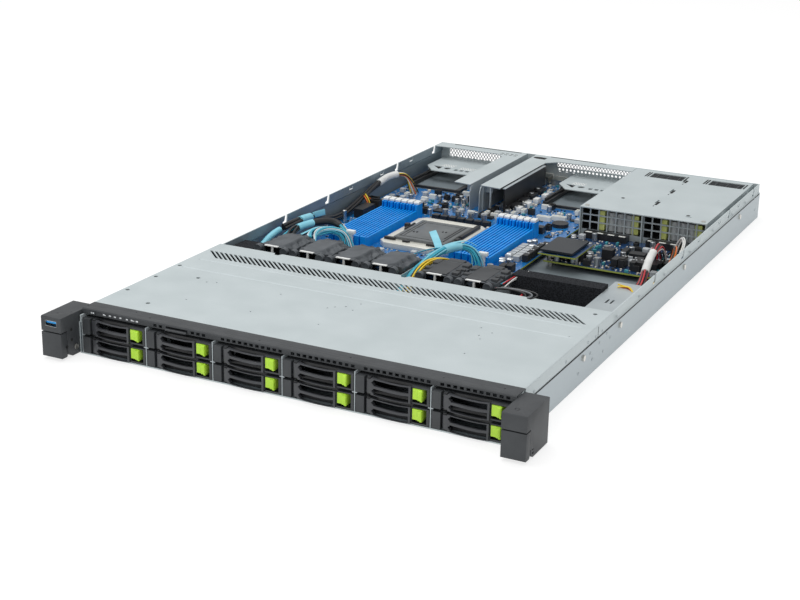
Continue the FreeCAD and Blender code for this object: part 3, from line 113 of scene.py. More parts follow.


# %% [markdown]
# ## Zinc-coated steel
# The case is folded from steel sheet with a thin zinc coat. Rolling and coating leave it a cool grey with
# faint clouds a few centimetres across and a grain of about a millimetre, and it is half matt. It could be
# a plain grey metal, but then wide panels look like paper, so the clouds shift both its colour and its
# gloss. Sheets that lie deep in the case, the floors, the inside of the left wall and the outer faces of the
# side walls are given darker pairs of colours, because less light reaches them: this is painted shade.

# %% Zinc-coated steel sheet
def zinc_sheet(name, dark, pale, metallic, gloss):
    """Rolled zinc coat: clouds 40 mm across, grain 0.7 mm."""
    m, t, bsdf, at = start_material(name, Metallic=metallic)
    cloud_scale = {"Scale": 1 / 0.040, "Detail": 3.0, "Roughness": 0.5}
    clouds = add(t, "ShaderNodeTexNoise", cloud_scale, {"Vector": at})
    grain = add(t, "ShaderNodeTexNoise", {"Scale": 1 / 0.0007, "Detail": 2.0}, {"Vector": at})
    both = add(t, "ShaderNodeMix", {"Factor": 0.35}, {"A": clouds.outputs[0], "B": grain.outputs[0]})
    t.links.new(ramp(t, both.outputs[0], [(0.35, dark), (0.65, pale)]), bsdf.inputs["Base Color"])
    spread = {"From Min": 0.3, "From Max": 0.7, "To Min": gloss - 0.05, "To Max": gloss + 0.07}
    shine = add(t, "ShaderNodeMapRange", spread, {"Value": both.outputs[0]})
    t.links.new(shine.outputs[0], bsdf.inputs["Roughness"])
    bump = add(t, "ShaderNodeBump", {"Strength": 0.06, "Distance": 0.0002}, {"Height": grain.outputs[0]})
    t.links.new(bump.outputs[0], bsdf.inputs["Normal"])
    return m


zinc = zinc_sheet("zinc_steel_sheet", "BFC9CB", "C7D0D2", 0.35, 0.52)
# Darker copies of the zinc below stand for painted shade where less light reaches.
zinc_dimmed_painted_shade = zinc_sheet("zinc_steel_dimmed_painted_shade", "A9B2B6", "B9C1C4", 0.45, 0.46)
shaded_zinc = zinc_sheet("zinc_steel_floor_painted_shade", "7D888E", "8E989D", 0.45, 0.50)
wall_inside_zinc_painted_shade = zinc_sheet("zinc_steel_wall_inside_painted_shade", "7D8C96", "8F9EA7", 0.45, 0.45)
side_zinc_painted_shade = zinc_sheet("zinc_steel_outer_side_painted_shade", "ABB5BA", "B5BFC3", 0.5, 0.42)
frame_steel = zinc_sheet("steel_stamped_pale", "D4D3CA", "E2E1D8", 0.3, 0.42)
print("zinc finishes:", [m.name for m in (zinc, zinc_dimmed_painted_shade, shaded_zinc, wall_inside_zinc_painted_shade, side_zinc_painted_shade, frame_steel)])

# %% [markdown]
# ## Moulded plastics
# The ears, bezel and drive fronts are moulded ABS with a spark-eroded mould texture: fine pits about a
# third of a millimetre apart that scatter light. The same recipe serves the nylon of levers and fans, the
# lime catches, the white latches, the rubber mounts, and small plain things such as tape, ferrite cores and
# a board's cut edge, with other colours and smoother skins.

# %% Moulded plastic with a pitted skin
def moulded(name, colour, worn, rough, pit_mm=0.35, depth=0.05, specular=0.5):
    """Moulded plastic: the colour drifts a little over 15 mm, and the skin has pits pit_mm apart."""
    m, t, bsdf, at = start_material(name, **{"IOR": 1.5, "Specular IOR Level": specular, "Roughness": rough})
    drift = add(t, "ShaderNodeTexNoise", {"Scale": 1 / 0.015, "Detail": 2.0}, {"Vector": at})
    t.links.new(ramp(t, drift.outputs[0], [(0.3, colour), (0.75, worn)]), bsdf.inputs["Base Color"])
    pits = add(t, "ShaderNodeTexNoise", {"Scale": 1 / (pit_mm * MM), "Detail": 1.0}, {"Vector": at})
    dents = {"Strength": depth * 4, "Distance": depth * MM}
    bump = add(t, "ShaderNodeBump", dents, {"Height": pits.outputs[0]})
    t.links.new(bump.outputs[0], bsdf.inputs["Normal"])
    return m


charcoal = moulded("abs_charcoal_moulded", "35383B", "3F4245", 0.55)
lever_grey = moulded("pa66_lever_grey", "3A3C40", "44464A", 0.40, 0.5, 0.04)
black = moulded("nylon_black_and_painted_shade", "1B1C1E", "242528", 0.42, 0.5)
fan_black = moulded("pbt_fan_black", "202123", "2A2B2D", 0.38, 0.6)
lime = moulded("abs_lime_catch", "B4E436", "C2EC4C", 0.40, 0.6, 0.02)
slot_blue = moulded("nylon_slot_blue", "0088DE", "0498F0", 0.42, 0.6, 0.02, 0.25)
latch_white = moulded("nylon_latch_white", "E4E6E4", "EDEEEC", 0.42, 0.6, 0.02)
rubber = moulded("rubber_fan_mount", "454A4F", "595E63", 0.50, 1.2, 0.15, 0.45)
edge_green = moulded("laminate_cut_edge", "8E9A3C", "A5AE52", 0.55, 0.3, 0.03)
tape_yellow = moulded("polyester_tape_yellow", "D0D87C", "E0E696", 0.40, 1.5, 0.03)
core_grey = moulded("ferrite_core_grey", "A6ABAE", "C4C8CA", 0.50, 0.5, 0.06)
light_clear = moulded("acrylic_light_pipe", "D7DCDE", "E8ECEE", 0.15, 1.0, 0.01)
usb_blue = moulded("nylon_port_blue", "0084D0", "0E98E0", 0.4, 0.5, 0.02)
plastics = [charcoal, lever_grey, black, fan_black, lime, slot_blue, latch_white, rubber]
plastics += [edge_green, tape_yellow, core_grey, light_clear, usb_blue]
print("plastics:", [m.name for m in plastics])


# %% [markdown]
# ## Foam blocks
# The two blocks beside the fans are open-cell foam, cut from a sheet. Its cells are about 1.5 mm across and
# show as tiny dark hollows. Modelling cells would take millions of faces, so a cell pattern dents the skin
# and darkens the middle of each cell: painted shade in the hollows.

# %% Cut open-cell foam
def cut_foam(cell_mm=1.5):
    """Foam with cells cell_mm across: the middle of each is dented and darker, as painted shade."""
    m, t, bsdf, at = start_material("foam_open_cell_cut", **{"Roughness": 0.95, "Specular IOR Level": 0.15})
    cells = add(t, "ShaderNodeTexVoronoi", {"Scale": 1 / (cell_mm * MM)}, {"Vector": at})
    away = cells.outputs["Distance"]
    t.links.new(ramp(t, away, [(0.1, "101113"), (0.7, "303236")]), bsdf.inputs["Base Color"])
    bump = add(t, "ShaderNodeBump", {"Strength": 0.8, "Distance": 0.0006}, {"Height": away})
    t.links.new(bump.outputs[0], bsdf.inputs["Normal"])
    return m


foam = cut_foam()
print("foam:", foam.name)

# %% [markdown]
# ## Printed circuit boards
# A board is glass laminate with copper tracks under a coloured lacquer. The tracks show as slightly paler
# lines in two directions, a millimetre or so apart, and the plated holes as pale dots. Two brick patterns,
# one turned, break the lines up as routed tracks are, and a cell pattern drops the holes between them.

# %% Lacquered board
def lacquered_board(name, base, track, dot):
    """Lacquer over copper: two runs of tracks, 1.6 and 2.1 mm apart, and plated dots about 4 mm apart."""
    m, t, bsdf, at = start_material(name, **{"Roughness": 0.30, "Coat Weight": 0.25, "Coat Roughness": 0.2})
    colour = None
    for turn, pitch in ((0.0, 1.6), (math.pi / 2, 2.1)):
        lay = add(t, "ShaderNodeMapping", {"Rotation": (0.0, 0.0, turn)}, {"Vector": at})
        rows = {"Scale": 1 / (pitch * MM), "Mortar Size": 0.12, "Brick Width": 11.0, "Row Height": 1.0,
                "Bias": -0.35, "Color1": linear(base), "Color2": linear(track), "Mortar": linear(base)}
        runs = add(t, "ShaderNodeTexBrick", rows, {"Vector": lay.outputs[0]})
        if colour is None:
            colour = runs.outputs[0]
        else:
            mix = add(t, "ShaderNodeMix", {"data_type": "RGBA", "blend_type": "LIGHTEN", "Factor": 1.0})
            t.links.new(colour, mix.inputs[6])
            t.links.new(runs.outputs[0], mix.inputs[7])
            colour = mix.outputs[2]
    holes = add(t, "ShaderNodeTexVoronoi", {"Scale": 1 / 0.0042, "Randomness": 0.85}, {"Vector": at})
    in_hole = add(t, "ShaderNodeMath", {"operation": "LESS_THAN", 1: 0.11}, {0: holes.outputs["Distance"]})
    plated = add(t, "ShaderNodeMix", {"data_type": "RGBA"}, {"Factor": in_hole.outputs[0]})
    t.links.new(colour, plated.inputs[6])
    plated.inputs[7].default_value = linear(dot)
    t.links.new(plated.outputs[2], bsdf.inputs["Base Color"])
    bump = add(t, "ShaderNodeBump", {"Strength": 0.15, "Distance": 0.0001}, {"Height": in_hole.outputs[0]})
    t.links.new(bump.outputs[0], bsdf.inputs["Normal"])
    return m


board_blue = lacquered_board("laminate_blue_lacquer", "0A62A6", "1A82C4", "BCD6E6")
board_navy = lacquered_board("laminate_navy_lacquer", "0C2C50", "17497A", "A9BACB")
board_green = lacquered_board("laminate_green_lacquer", "3F5A1C", "5A7A2A", "C9C58A")
print("boards:", board_blue.name, board_navy.name, board_green.name)

# %% [markdown]
# ## Bare metals
# Connector shells and screws are nickel plated, which is smooth and slightly warm. Capacitor cans are
# brushed aluminium, duller and cooler, and the drives' lids are dark cast aluminium. All are full metals,
# so their look comes from what they reflect, and a fine noise, stretched where a brush has run, breaks that
# up.

# %% Plated and brushed metals
def bare_metal(name, colour, worn, rough, stretch=1.0, grain_mm=0.4):
    """A full metal whose colour and gloss follow a fine grain; stretch draws it out as brushing does."""
    m, t, bsdf, at = start_material(name, Metallic=1.0)
    lay = add(t, "ShaderNodeMapping", {"Scale": (stretch, 1.0, 1.0)}, {"Vector": at})
    grain_scale = {"Scale": 1 / (grain_mm * MM), "Detail": 3.0}
    grain = add(t, "ShaderNodeTexNoise", grain_scale, {"Vector": lay.outputs[0]})
    t.links.new(ramp(t, grain.outputs[0], [(0.3, colour), (0.7, worn)]), bsdf.inputs["Base Color"])
    spread = {"To Min": rough - 0.06, "To Max": rough + 0.08}
    shine = add(t, "ShaderNodeMapRange", spread, {"Value": grain.outputs[0]})
    t.links.new(shine.outputs[0], bsdf.inputs["Roughness"])
    return m


nickel = bare_metal("nickel_plate", "C8C6BF", "DAD8D2", 0.28)
aluminium = bare_metal("aluminium_brushed", "A9ADB0", "C2C5C7", 0.38, 12.0, 0.8)
dark_cast = bare_metal("aluminium_black_anodised", "3F4347", "54585C", 0.42, 1.0, 0.6)
print("metals:", nickel.name, aluminium.name, dark_cast.name)

# %% [markdown]
# ## Camera, floor and light
# The view is from the front right, a little above, with a long lens. The floor and the world show white to
# the camera and to reflections, while the object is lit by an even sky and two large soft lamps, so pale
# sheet metal keeps its colour and the floor still takes a soft shadow.

# %% Camera
def look(yaw, pitch, roll):
    """Camera axes for a yaw to the left, a pitch down and a small roll."""
    ahead = Vector((-math.sin(yaw) * math.cos(pitch), math.cos(yaw) * math.cos(pitch), -math.sin(pitch)))
    right = ahead.cross(Vector((0, 0, 1))).normalized()
    up = right.cross(ahead)
    right, up = (right * math.cos(roll) + up * math.sin(roll), up * math.cos(roll) - right * math.sin(roll))
    return Matrix((right, up, -ahead)).transposed()


eye = bpy.data.cameras.new("camera")
eye.lens = 69.805
eye.sensor_width = 36.0
eye.clip_start = 0.05
camera = bpy.data.objects.new("camera", eye)
bpy.context.scene.collection.objects.link(camera)
camera.matrix_world = (Matrix.Translation((0.649145, -1.103835, 0.527083))
                       @ look(math.radians(26.318), math.radians(19.067), math.radians(1.148)).to_4x4())
bpy.context.scene.camera = camera
bpy.context.scene.view_settings.view_transform = "Standard"
print("lens:", eye.lens, "mm")

# %% Floor that shows white and keeps the shadow
def deselect():
    """Leaves edit mode and clears the selection, because an operator acts on all that is selected."""
    if bpy.context.object and bpy.context.object.mode != "OBJECT":
        bpy.ops.object.mode_set(mode="OBJECT")
    bpy.ops.object.select_all(action="DESELECT")


def white_to_camera(tree, surface):
    """Shows a surface mostly as even white to the camera and to reflections, with a share of its shading."""
    rays = add(tree, "ShaderNodeLightPath")
    either = add(tree, "ShaderNodeMath", {"operation": "MAXIMUM"},
                 {0: rays.outputs["Is Camera Ray"], 1: rays.outputs["Is Glossy Ray"]})
    seen = add(tree, "ShaderNodeMath", {"operation": "MAXIMUM"},
               {0: either.outputs[0], 1: rays.outputs["Is Transmission Ray"]})
    share = add(tree, "ShaderNodeMath", {"operation": "MULTIPLY", 1: 0.62}, {0: seen.outputs[0]})
    glow = add(tree, "ShaderNodeEmission", {"Color": (1, 1, 1, 1), "Strength": 1.18})
    return add(tree, "ShaderNodeMixShader", links={"Fac": share.outputs[0], 1: surface, 2: glow.outputs[0]})


deselect()
bpy.ops.mesh.primitive_plane_add(size=30, location=(0, 0, -0.0005))
floor = bpy.context.object
floor.name = "floor"
bpy.ops.object.transform_apply()
paper = bpy.data.materials.new("white_paper_floor")
paper.use_nodes = True
paper.node_tree.nodes.clear()
matt = add(paper.node_tree, "ShaderNodeBsdfDiffuse", {"Color": linear("F4F4F4")})
shown = white_to_camera(paper.node_tree, matt.outputs[0])
add(paper.node_tree, "ShaderNodeOutputMaterial", links={"Surface": shown.outputs[0]})
floor.data.materials.append(paper)
print("floor:", floor.name)

# %% Sky and two soft lamps
world = bpy.data.worlds.new("studio")
bpy.context.scene.world = world
world.use_nodes = True
world.node_tree.nodes.clear()
rays = add(world.node_tree, "ShaderNodeLightPath")
sky = add(world.node_tree, "ShaderNodeBackground", {"Color": (1, 1, 1, 1), "Strength": 0.62})
backdrop = add(world.node_tree, "ShaderNodeBackground", {"Color": (1, 1, 1, 1), "Strength": 1.0})
either = add(world.node_tree, "ShaderNodeMath", {"operation": "MAXIMUM"},
             {0: rays.outputs["Is Camera Ray"], 1: rays.outputs["Is Transmission Ray"]})
blend_sky = add(world.node_tree, "ShaderNodeMixShader",
                links={"Fac": either.outputs[0], 1: sky.outputs[0], 2: backdrop.outputs[0]})
add(world.node_tree, "ShaderNodeOutputWorld", links={"Surface": blend_sky.outputs[0]})


def soft_lamp(name, where, size, watts):
    """A square studio lamp that faces the middle of the object."""
    data = bpy.data.lights.new(name, "AREA")
    data.size = size
    data.energy = watts
    lamp = bpy.data.objects.new(name, data)
    bpy.context.scene.collection.objects.link(lamp)
    lamp.location = where
    lamp.rotation_euler = (Vector((0.0, 0.36, 0.0)) - Vector(where)).to_track_quat("-Z", "Y").to_euler()
    return lamp


soft_lamp("lamp_over", (-0.45, 0.35, 2.2), 2.0, 27.0)
soft_lamp("lamp_front", (0.6, -2.4, 1.2), 1.6, 11.0)

# %% [markdown]
# ## Finishes for the CAD parts
# A CAD part keeps its mesh, and takes its finish through its material slots. A part of several solids, such
# as a drive with its rails, front and catch, takes several materials, and each face picks one by where it
# lies.

# %% Dress a CAD part in one finish or several
def dress(name, *finishes, pick=None):
    """Gives a CAD part its materials; pick(centre in mm, normal) tells which one a face takes."""
    mesh = nodes[name].data
    mesh.materials.clear()
    for f in finishes:
        mesh.materials.append(f)
    for face in mesh.polygons:
        face.material_index = pick(face.center / MM, face.normal) if pick else 0
    return nodes[name]


for name in ("rear_panel", "front_cover", "psu_cage"):
    dress(name, zinc)


def base_finish(c, n):
    """Painted shade on the floor 1, left wall's inside 2 and both walls' outsides under their joint 3; rest
    0.
    """
    if c.z < 1.5 and n.z > 0.5 and abs(c.x) < 218:
        return 1
    if n.x > 0.5 and c.x < -214:
        return 2
    return 3 if abs(n.x) > 0.5 and abs(c.x) > 217.9 and c.z < 31.2 else 0


dress("chassis_base", zinc, shaded_zinc, wall_inside_zinc_painted_shade, side_zinc_painted_shade, pick=base_finish)
# The inner cages take the darker copy all over: painted shade.
for name in ("drive_cage", "fan_tray"):
    dress(name, zinc_dimmed_painted_shade)
# The riser cages' tops take the lit zinc and their other faces the darker copy: painted shade.
dress("riser_cages", zinc, zinc_dimmed_painted_shade, pick=lambda c, n: 0 if n.z > 0.5 else 1)
# The card cages' faces below 12 mm take the darker floor copy: painted shade.
dress("net_cages", zinc, shaded_zinc, pick=lambda c, n: 1 if c.z < 12 else 0)
FRONT_PLASTICS = ["front_bezel", "left_ear", "right_ear", "left_ear_door", "right_ear_door", "power_button",
                  "pull_tag"]
for name in FRONT_PLASTICS:
    dress(name, charcoal)
dress("backplane", board_green)
FANS = range(6)
BAYS = range(1, 13)
for k in FANS:
    dress(f"fan_rotor_{k + 1}", fan_black)
dress("air_blocks", foam)
dress("dimm_sockets", slot_blue)
dress("dimm_latches", latch_white)
dress("fasteners", nickel)
dress("cables", black)
for k in BAYS:
    dress(f"carrier_lever_{k:02d}", lever_grey)
print("finishes so far:", len(bpy.data.materials))

# %% [markdown]
# ## Parts with several finishes
# A drive in its carrier is one CAD part of five solids: the moulded front, the lime catch, two steel rails
# and the drive's cast lid. Splitting it would lose its joint, so each face is given the slot of the solid
# it belongs to.

# %% Drives, rails and catches
FRONT = -21.0
BAY_PITCH = 72.0
ROW_BASE = (1.6, 19.9)


def bay_place(number):
    """Middle of a bay and its base, in mm."""
    column, row = divmod(number - 1, 2)
    return (column - 2.5) * BAY_PITCH, ROW_BASE[row]


def carrier_finish(number):
    """Front 0, catch 1, rails 2, drive 3, and 4, black, painted shade in the recess around the lever."""
    x0, z0 = bay_place(number)

    def pick(c, n):
        x, y, z = c.x - x0, c.y - FRONT, c.z - z0
        if 19.35 < x < 28.55 and 2.95 < z < 14.05 and y < 7.9:
            return 1
        if abs(x) > 34.95:
            return 2
        if y > 30:
            return 3
        # Faces in the recess around the lever take black: painted shade.
        return 4 if 0.3 < y < 13.9 and x > -24 and abs(z - 7.7) < 7.6 else 0
    return pick


for k in BAYS:
    dress(f"drive_carrier_{k:02d}", charcoal, lime, zinc_dimmed_painted_shade, dark_cast, black, pick=carrier_finish(k))
print("carriers dressed:", len(BAYS))

# %% [markdown]
# ## Fans, boards, sockets and supplies
# These parts take their finishes in the same way. Where a face lies tells the kind of solid it is on: a
# capacitor by its middle, a port's tongue by its height, and a board's cut edge by its direction.

# %% Places that tell the solids apart
FIRST_FAN_X = -168.5
FAN_PITCH = 43.0
FAN_GAP = 18.5
FAN_X = [FIRST_FAN_X + FAN_PITCH * k + (FAN_GAP if k > 3 else 0.0) for k in FANS]
FAN_Y = 241.0
CPU = (-78.0, 451.0)
PSU_LEFT = (60.2, 135.5)
PSU_Y = 564.0
CANS = [(27.5, 345), (39.5, 357), (27.5, 369)] + [(x, 542) for x in (-106, -89, -72, -55)]
POWER_CANS = [(111.5, 451), (121.5, 449), (107.5, 465), (177.5, 449), (115.5, 497)]


def on_can(c, reach=3.7):
    """Tells whether a face's middle, in mm, lies on one of the capacitor cans."""
    return any(math.hypot(c.x - x, c.y - y) < reach for x, y in CANS + POWER_CANS)


def supply_finish(x0):
    """Case 0, inner parts 1, tape 2 and cores 3."""
    def pick(c, n):
        x, y = c.x - x0, c.y - PSU_Y
        if y < 1.3 or y > 44.5:
            return 0
        inside = y < 31 and 15.8 < c.z < 37.7
        if inside and (19.9 < x < 27.1 or 59.9 < x < 68.1):
            return 2
        return 3 if inside and 30 < x < 61 else 1
    return pick


print("fans across:", FAN_X)

# %% Fans, boards, sockets and supplies
dress("fan_housings", fan_black, latch_white,
      pick=lambda c, n: 1 if c.y < FAN_Y + 1.7 and min(abs(c.x - x) for x in FAN_X) < 1.0 else 0)
dress("motherboard", board_blue, edge_green, pick=lambda c, n: 0 if abs(n.z) > 0.5 else 1)
dress("power_board", board_navy, edge_green, black,
      pick=lambda c, n: 2 if c.z > 9.2 else (0 if abs(n.z) > 0.5 else 1))
dress("option_card", board_navy, edge_green, dark_cast, nickel,
      pick=lambda c, n: 2 if c.z > 20.7 else (3 if c.z < 18.9 else (0 if abs(n.z) > 0.5 else 1)))
dress("cpu_socket", frame_steel, dark_cast,
      pick=lambda c, n: 1 if c.z > 16.55 or (abs(c.x - CPU[0]) < 33.5 and abs(c.y - CPU[1]) < 41.5) else 0)
dress("board_components", black, aluminium, core_grey,
      pick=lambda c, n: 1 if on_can(c) else (2 if 20 < c.x < 50 and 410 < c.y < 480 else 0))


def port_finish(c, n):
    """Shell 0, blue tongue of the ear's port 1, and light pipes behind the bezel 2."""
    if c.y < -30:
        return 1 if abs(c.z - 36.35) < 1.0 and abs(c.x + 230.4) < 5.6 else 0
    return 2 if -30 < c.y < 0 else 0


dress("io_ports", nickel, usb_blue, light_clear, pick=port_finish)
for k, x0 in enumerate(PSU_LEFT):
    dress(f"power_supply_{k + 1}", zinc_dimmed_painted_shade, black, tape_yellow, core_grey, pick=supply_finish(x0))
print("dressed:", len(nodes))

# %% [markdown]
# ## Modelling helpers
# Each new piece starts from one primitive at its place and is shaped with edit-mode operators. A few
# helpers do what a hand does each time: select one piece, put a block between two corners, inset or pull
# out a face, round the edges, copy a part to its places, and hand the finished piece to the body it moves
# with.

# %% Selecting, and the first shapes
def take(*parts):
    """Selects these pieces and no others, and makes the first one active."""
    deselect()
    for part in parts:
        part.select_set(True)
    bpy.context.view_layer.objects.active = parts[0]


def block(name, low, high):
    """A box between two corners in mm, alone in the selection, ready for edit mode."""
    deselect()
    low, high = spot(*low), spot(*high)
    bpy.ops.mesh.primitive_cube_add(size=1, location=(low + high) / 2)
    piece = bpy.context.object
    piece.name = name
    piece.scale = high - low
    bpy.ops.object.transform_apply(location=True, rotation=True, scale=True)
    return piece


def rounded(piece, width, segments=2, angle=40):
    """Rounds every edge sharper than the angle by a width in mm, as a finishing pass."""
    take(piece)
    edge = piece.modifiers.new("edge", "BEVEL")
    edge.width = width * MM
    edge.segments = segments
    edge.limit_method = "ANGLE"
    edge.angle_limit = math.radians(angle)
    bpy.ops.object.modifier_apply(modifier=edge.name)
    bpy.ops.object.shade_smooth_by_angle(angle=math.radians(35))
    return piece


def disc(name, centre, radius, depth, axis="Z", sides=20):
    """A short cylinder in mm about a point, along one axis."""
    deselect()
    turn = {"Z": (0, 0, 0), "Y": (math.pi / 2, 0, 0), "X": (0, math.pi / 2, 0)}[axis]
    bpy.ops.mesh.primitive_cylinder_add(vertices=sides, radius=radius * MM, depth=depth * MM,
                                        location=spot(*centre), rotation=turn)
    piece = bpy.context.object
    piece.name = name
    bpy.ops.object.transform_apply(location=True, rotation=True, scale=True)
    return piece


def soft_block(low, high, edge, segments=2):
    """A block between two corners with rounded edges, to be joined with others."""
    return rounded(block("part", low, high), edge, segments)


print("first shapes: block, soft_block, disc")


# %% Choosing faces, and shaping them
def pick(piece, kind, test):
    """Enters edit mode with the faces or edges selected whose middle (mm) and direction pass a test."""
    take(piece)
    bpy.ops.object.mode_set(mode="EDIT")
    bpy.ops.mesh.select_mode(type=kind)
    bpy.ops.mesh.select_all(action="DESELECT")
    bpy.ops.object.mode_set(mode="OBJECT")
    if kind == "FACE":
        for face in piece.data.polygons:
            face.select = bool(test(face.center / MM, face.normal))
    else:
        for edge in piece.data.edges:
            a, b = (piece.data.vertices[v].co for v in edge.vertices)
            edge.select = bool(test((a + b) / 2 / MM, (b - a).normalized()))
    bpy.ops.object.mode_set(mode="EDIT")


def pick_top(piece):
    """Enters edit mode with the faces that look up selected."""
    pick(piece, "FACE", lambda c, n: n.z > 0.9)


def edit_whole(piece):
    """Enters edit mode with the whole piece selected."""
    take(piece)
    bpy.ops.object.mode_set(mode="EDIT")
    bpy.ops.mesh.select_all(action="SELECT")


def inset(width, depth=0.0):
    """Insets the chosen faces by a width in mm and moves them along their normals by a depth."""
    bpy.ops.mesh.inset(thickness=width * MM, depth=depth * MM)


def extrude(x, y, z):
    """Extrudes the chosen faces by a shift in mm."""
    bpy.ops.mesh.extrude_region_move(TRANSFORM_OT_translate={"value": (x * MM, y * MM, z * MM)})


print("shaping tools: inset, extrude")


# %% Copies, joins and hand-over
def copy_to(master, places):
    """Copies with their own meshes at each shift in mm; a fourth number turns a copy about Z, in degrees."""
    made = []
    for place in places:
        twin = master.copy()
        twin.data = master.data.copy()
        twin.matrix_world = Matrix.Translation(spot(*place[:3])) @ Matrix.Rotation(
            math.radians(place[3] if len(place) > 3 else 0), 4, "Z")
        bpy.context.scene.collection.objects.link(twin)
        made.append(twin)
    return made


def join(name, parts):
    """One piece from several, with its place in its mesh."""
    take(*parts)
    bpy.ops.object.transform_apply(location=True, rotation=True, scale=True)
    if len(parts) > 1:
        bpy.ops.object.join()
    whole = bpy.context.object
    whole.name = name
    return whole


def hand_over(piece, slot, *finishes, body="server"):
    """Gives a piece its finish and the body it moves with; the slot argument is not used."""
    if finishes:
        piece.data.materials.clear()
        for f in finishes:
            piece.data.materials.append(f)
    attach(piece, body)
    print(piece.name, len(piece.data.polygons), "faces")
    return piece


def put(name, master, places, slot, *finishes):
    """Copies a part to its places in mm, joins the copies and hands them over; the part itself goes."""
    made = copy_to(master, places)
    bpy.data.objects.remove(master)
    return hand_over(join(name, made), slot, *finishes)

# %% [markdown]
# ## Rubber fan mounts
# Each fan sits in a soft rubber sleeve that keeps its shaking out of the case. The sleeve is slack: it is
# smooth along the middle of its top, and gathers in folds down its sides and over its rear edge. A cloth
# simulation could drape it, but a few noise waves that grow towards the sides give the same folds in a
# moment. The sleeve is an open shell, so the rotors behind it turn freely.

# %% How a sleeve crumples
SLEEVE_HALF = 20.9
SLEEVE_BASE = 24.0
SLEEVE_TOP = 42.9
LOOSE_FANS = 4


def share(value, start, length):
    """How far a value lies along a stretch, held between 0 and 1."""
    return min(1.0, max(0.0, (value - start) / length))


def crumple(k, dx, y, z):
    """Where a point of sleeve k goes, in mm: dx from the middle, y from the front, z from the floor."""
    loose = 1.0 if k < LOOSE_FANS else 0.45
    hand = math.copysign(1.0, dx)
    warp = noise.noise(Vector((dx * 0.04 + 7 * k, y * 0.05, 0.3 + hand)))
    # Broad folds lie about 20 mm apart, and fine creases 6 mm apart.
    pillow = abs(math.sin(y * 0.155 + 1.9 * k + 2.6 * warp + 0.8 * hand)) ** 0.55
    fine = abs(math.sin(y * 0.52 + dx * 0.30 * hand + 4.0 * warp + k)) ** 0.7
    side = abs(dx) / SLEEVE_HALF
    mouth = share(y, 5.0, 8.0)
    tail = share(y, 46.0, 12.0)
    flank = share(side, 0.53, 1 / 7) * max(0.25, mouth)
    neck = 11.5 + 9.2 * mouth - loose * flank * (3.4 * (1 - pillow) + 1.2 * (1 - fine))
    dx *= neck / SLEEVE_HALF
    sag = 1.7 + loose * (3.6 * (1 - pillow) + 2.0 * (1 - fine) + 2.2 * max(0.0, side - 0.7) / 0.3)
    calm = 0.45 * abs(noise.noise(Vector((dx * 0.09, y * 0.05, 9 + k))))
    drop = share(z, 31.0, 5.0) * (flank * sag + tail * (2.4 + 2.6 * loose * (1 - fine)) + calm)
    return dx, y - tail * 1.5, max(SLEEVE_BASE, z - drop)


print("a corner of the first sleeve goes to", crumple(0, SLEEVE_HALF, 30.0, SLEEVE_TOP))


# %% One sleeve over each fan
def sleeve(k):
    """Open shell over fan k: its front narrows to a neck, and its slack gathers in folds."""
    x = FAN_X[k]
    low = (x - SLEEVE_HALF, FAN_Y + 1.0, SLEEVE_BASE)
    high = (x + SLEEVE_HALF, FAN_Y + 62.0, SLEEVE_TOP)
    piece = block(f"fan_sleeve_{k + 1}", low, high)
    pick(piece, "FACE", lambda c, n: n.z < -0.5 or n.y < -0.5)
    bpy.ops.mesh.delete(type="FACE")
    bpy.ops.mesh.select_all(action="SELECT")
    bpy.ops.mesh.subdivide(number_cuts=29)
    bpy.ops.object.mode_set(mode="OBJECT")
    for v in piece.data.vertices:
        dx, y, z = crumple(k, v.co.x / MM - x, v.co.y / MM - FAN_Y, v.co.z / MM)
        v.co = spot(x + dx, FAN_Y + y, z)
    shell = piece.modifiers.new("skin", "SOLIDIFY")
    shell.thickness = 0.6 * MM
    shell.offset = -1.0
    bpy.ops.object.modifier_apply(modifier=shell.name)
    bpy.ops.object.shade_smooth()
    return hand_over(piece, "fan_plastic", rubber)


for k in FANS:
    sleeve(k)

# %% [markdown]
# The sleeve hides the upper part of the fan's frame and sinks below its corners. A copy of the CAD frames
# is cut level under the folds and stands in for them, and a pale strut stands in the middle of each intake.

# %% Frames cut below the folds, and struts
def stand_in(name, title):
    """A copy of a CAD part with its loose triangles merged, left in edit mode."""
    twin = nodes[name].copy()
    twin.data = nodes[name].data.copy()
    twin.name = title
    bpy.context.scene.collection.objects.link(twin)
    edit_whole(twin)
    bpy.ops.mesh.remove_doubles(threshold=0.00001)
    return twin


frames = stand_in("fan_housings", "fan_frames")
bpy.ops.mesh.select_all(action="SELECT")
bpy.ops.mesh.bisect(plane_co=spot(0, 0, 33.6), plane_no=(0, 0, 1), clear_outer=True, use_fill=True)
bpy.ops.object.mode_set(mode="OBJECT")
hand_over(frames, "fan_plastic", fan_black)
for face in frames.data.polygons:
    face.material_index = 0
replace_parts(frames, "fan_housings")

strut = block("strut", (-1.0, -0.8, 0), (1.0, 0.8, 11.5))
pick(strut, "FACE", lambda c, n: n.z < -0.9)
bpy.ops.transform.resize(value=(1.5, 1.5, 1), center_override=(0, 0, 0))
rounded(strut, 0.3)
put("fan_struts", strut, [(x, FAN_Y + 1.2, 31.0) for x in FAN_X], "fan_plastic", latch_white)

# %% [markdown]
# ## Fan knobs and clips
# Two round rubber knobs hold the front corners of each fan, and a pale clip bridges the top of its intake.
# The knob is a disc whose face is pushed in and whose rim is rounded; one is made and copied to each
# corner.

# %% Knobs and clips
KNOB_X = 15.8
knob = disc("knob", (0, 0, 0), 4.5, 6.4, "Y", 16)
pick(knob, "FACE", lambda c, n: n.y < -0.5)
inset(1.3, -0.8)
rounded(knob, 0.4)
corners = [(x + side * KNOB_X, FAN_Y - 0.6, 38.6) for x in FAN_X for side in (-1, 1)]
put("fan_knobs", knob, corners, "fan_plastic", rubber)

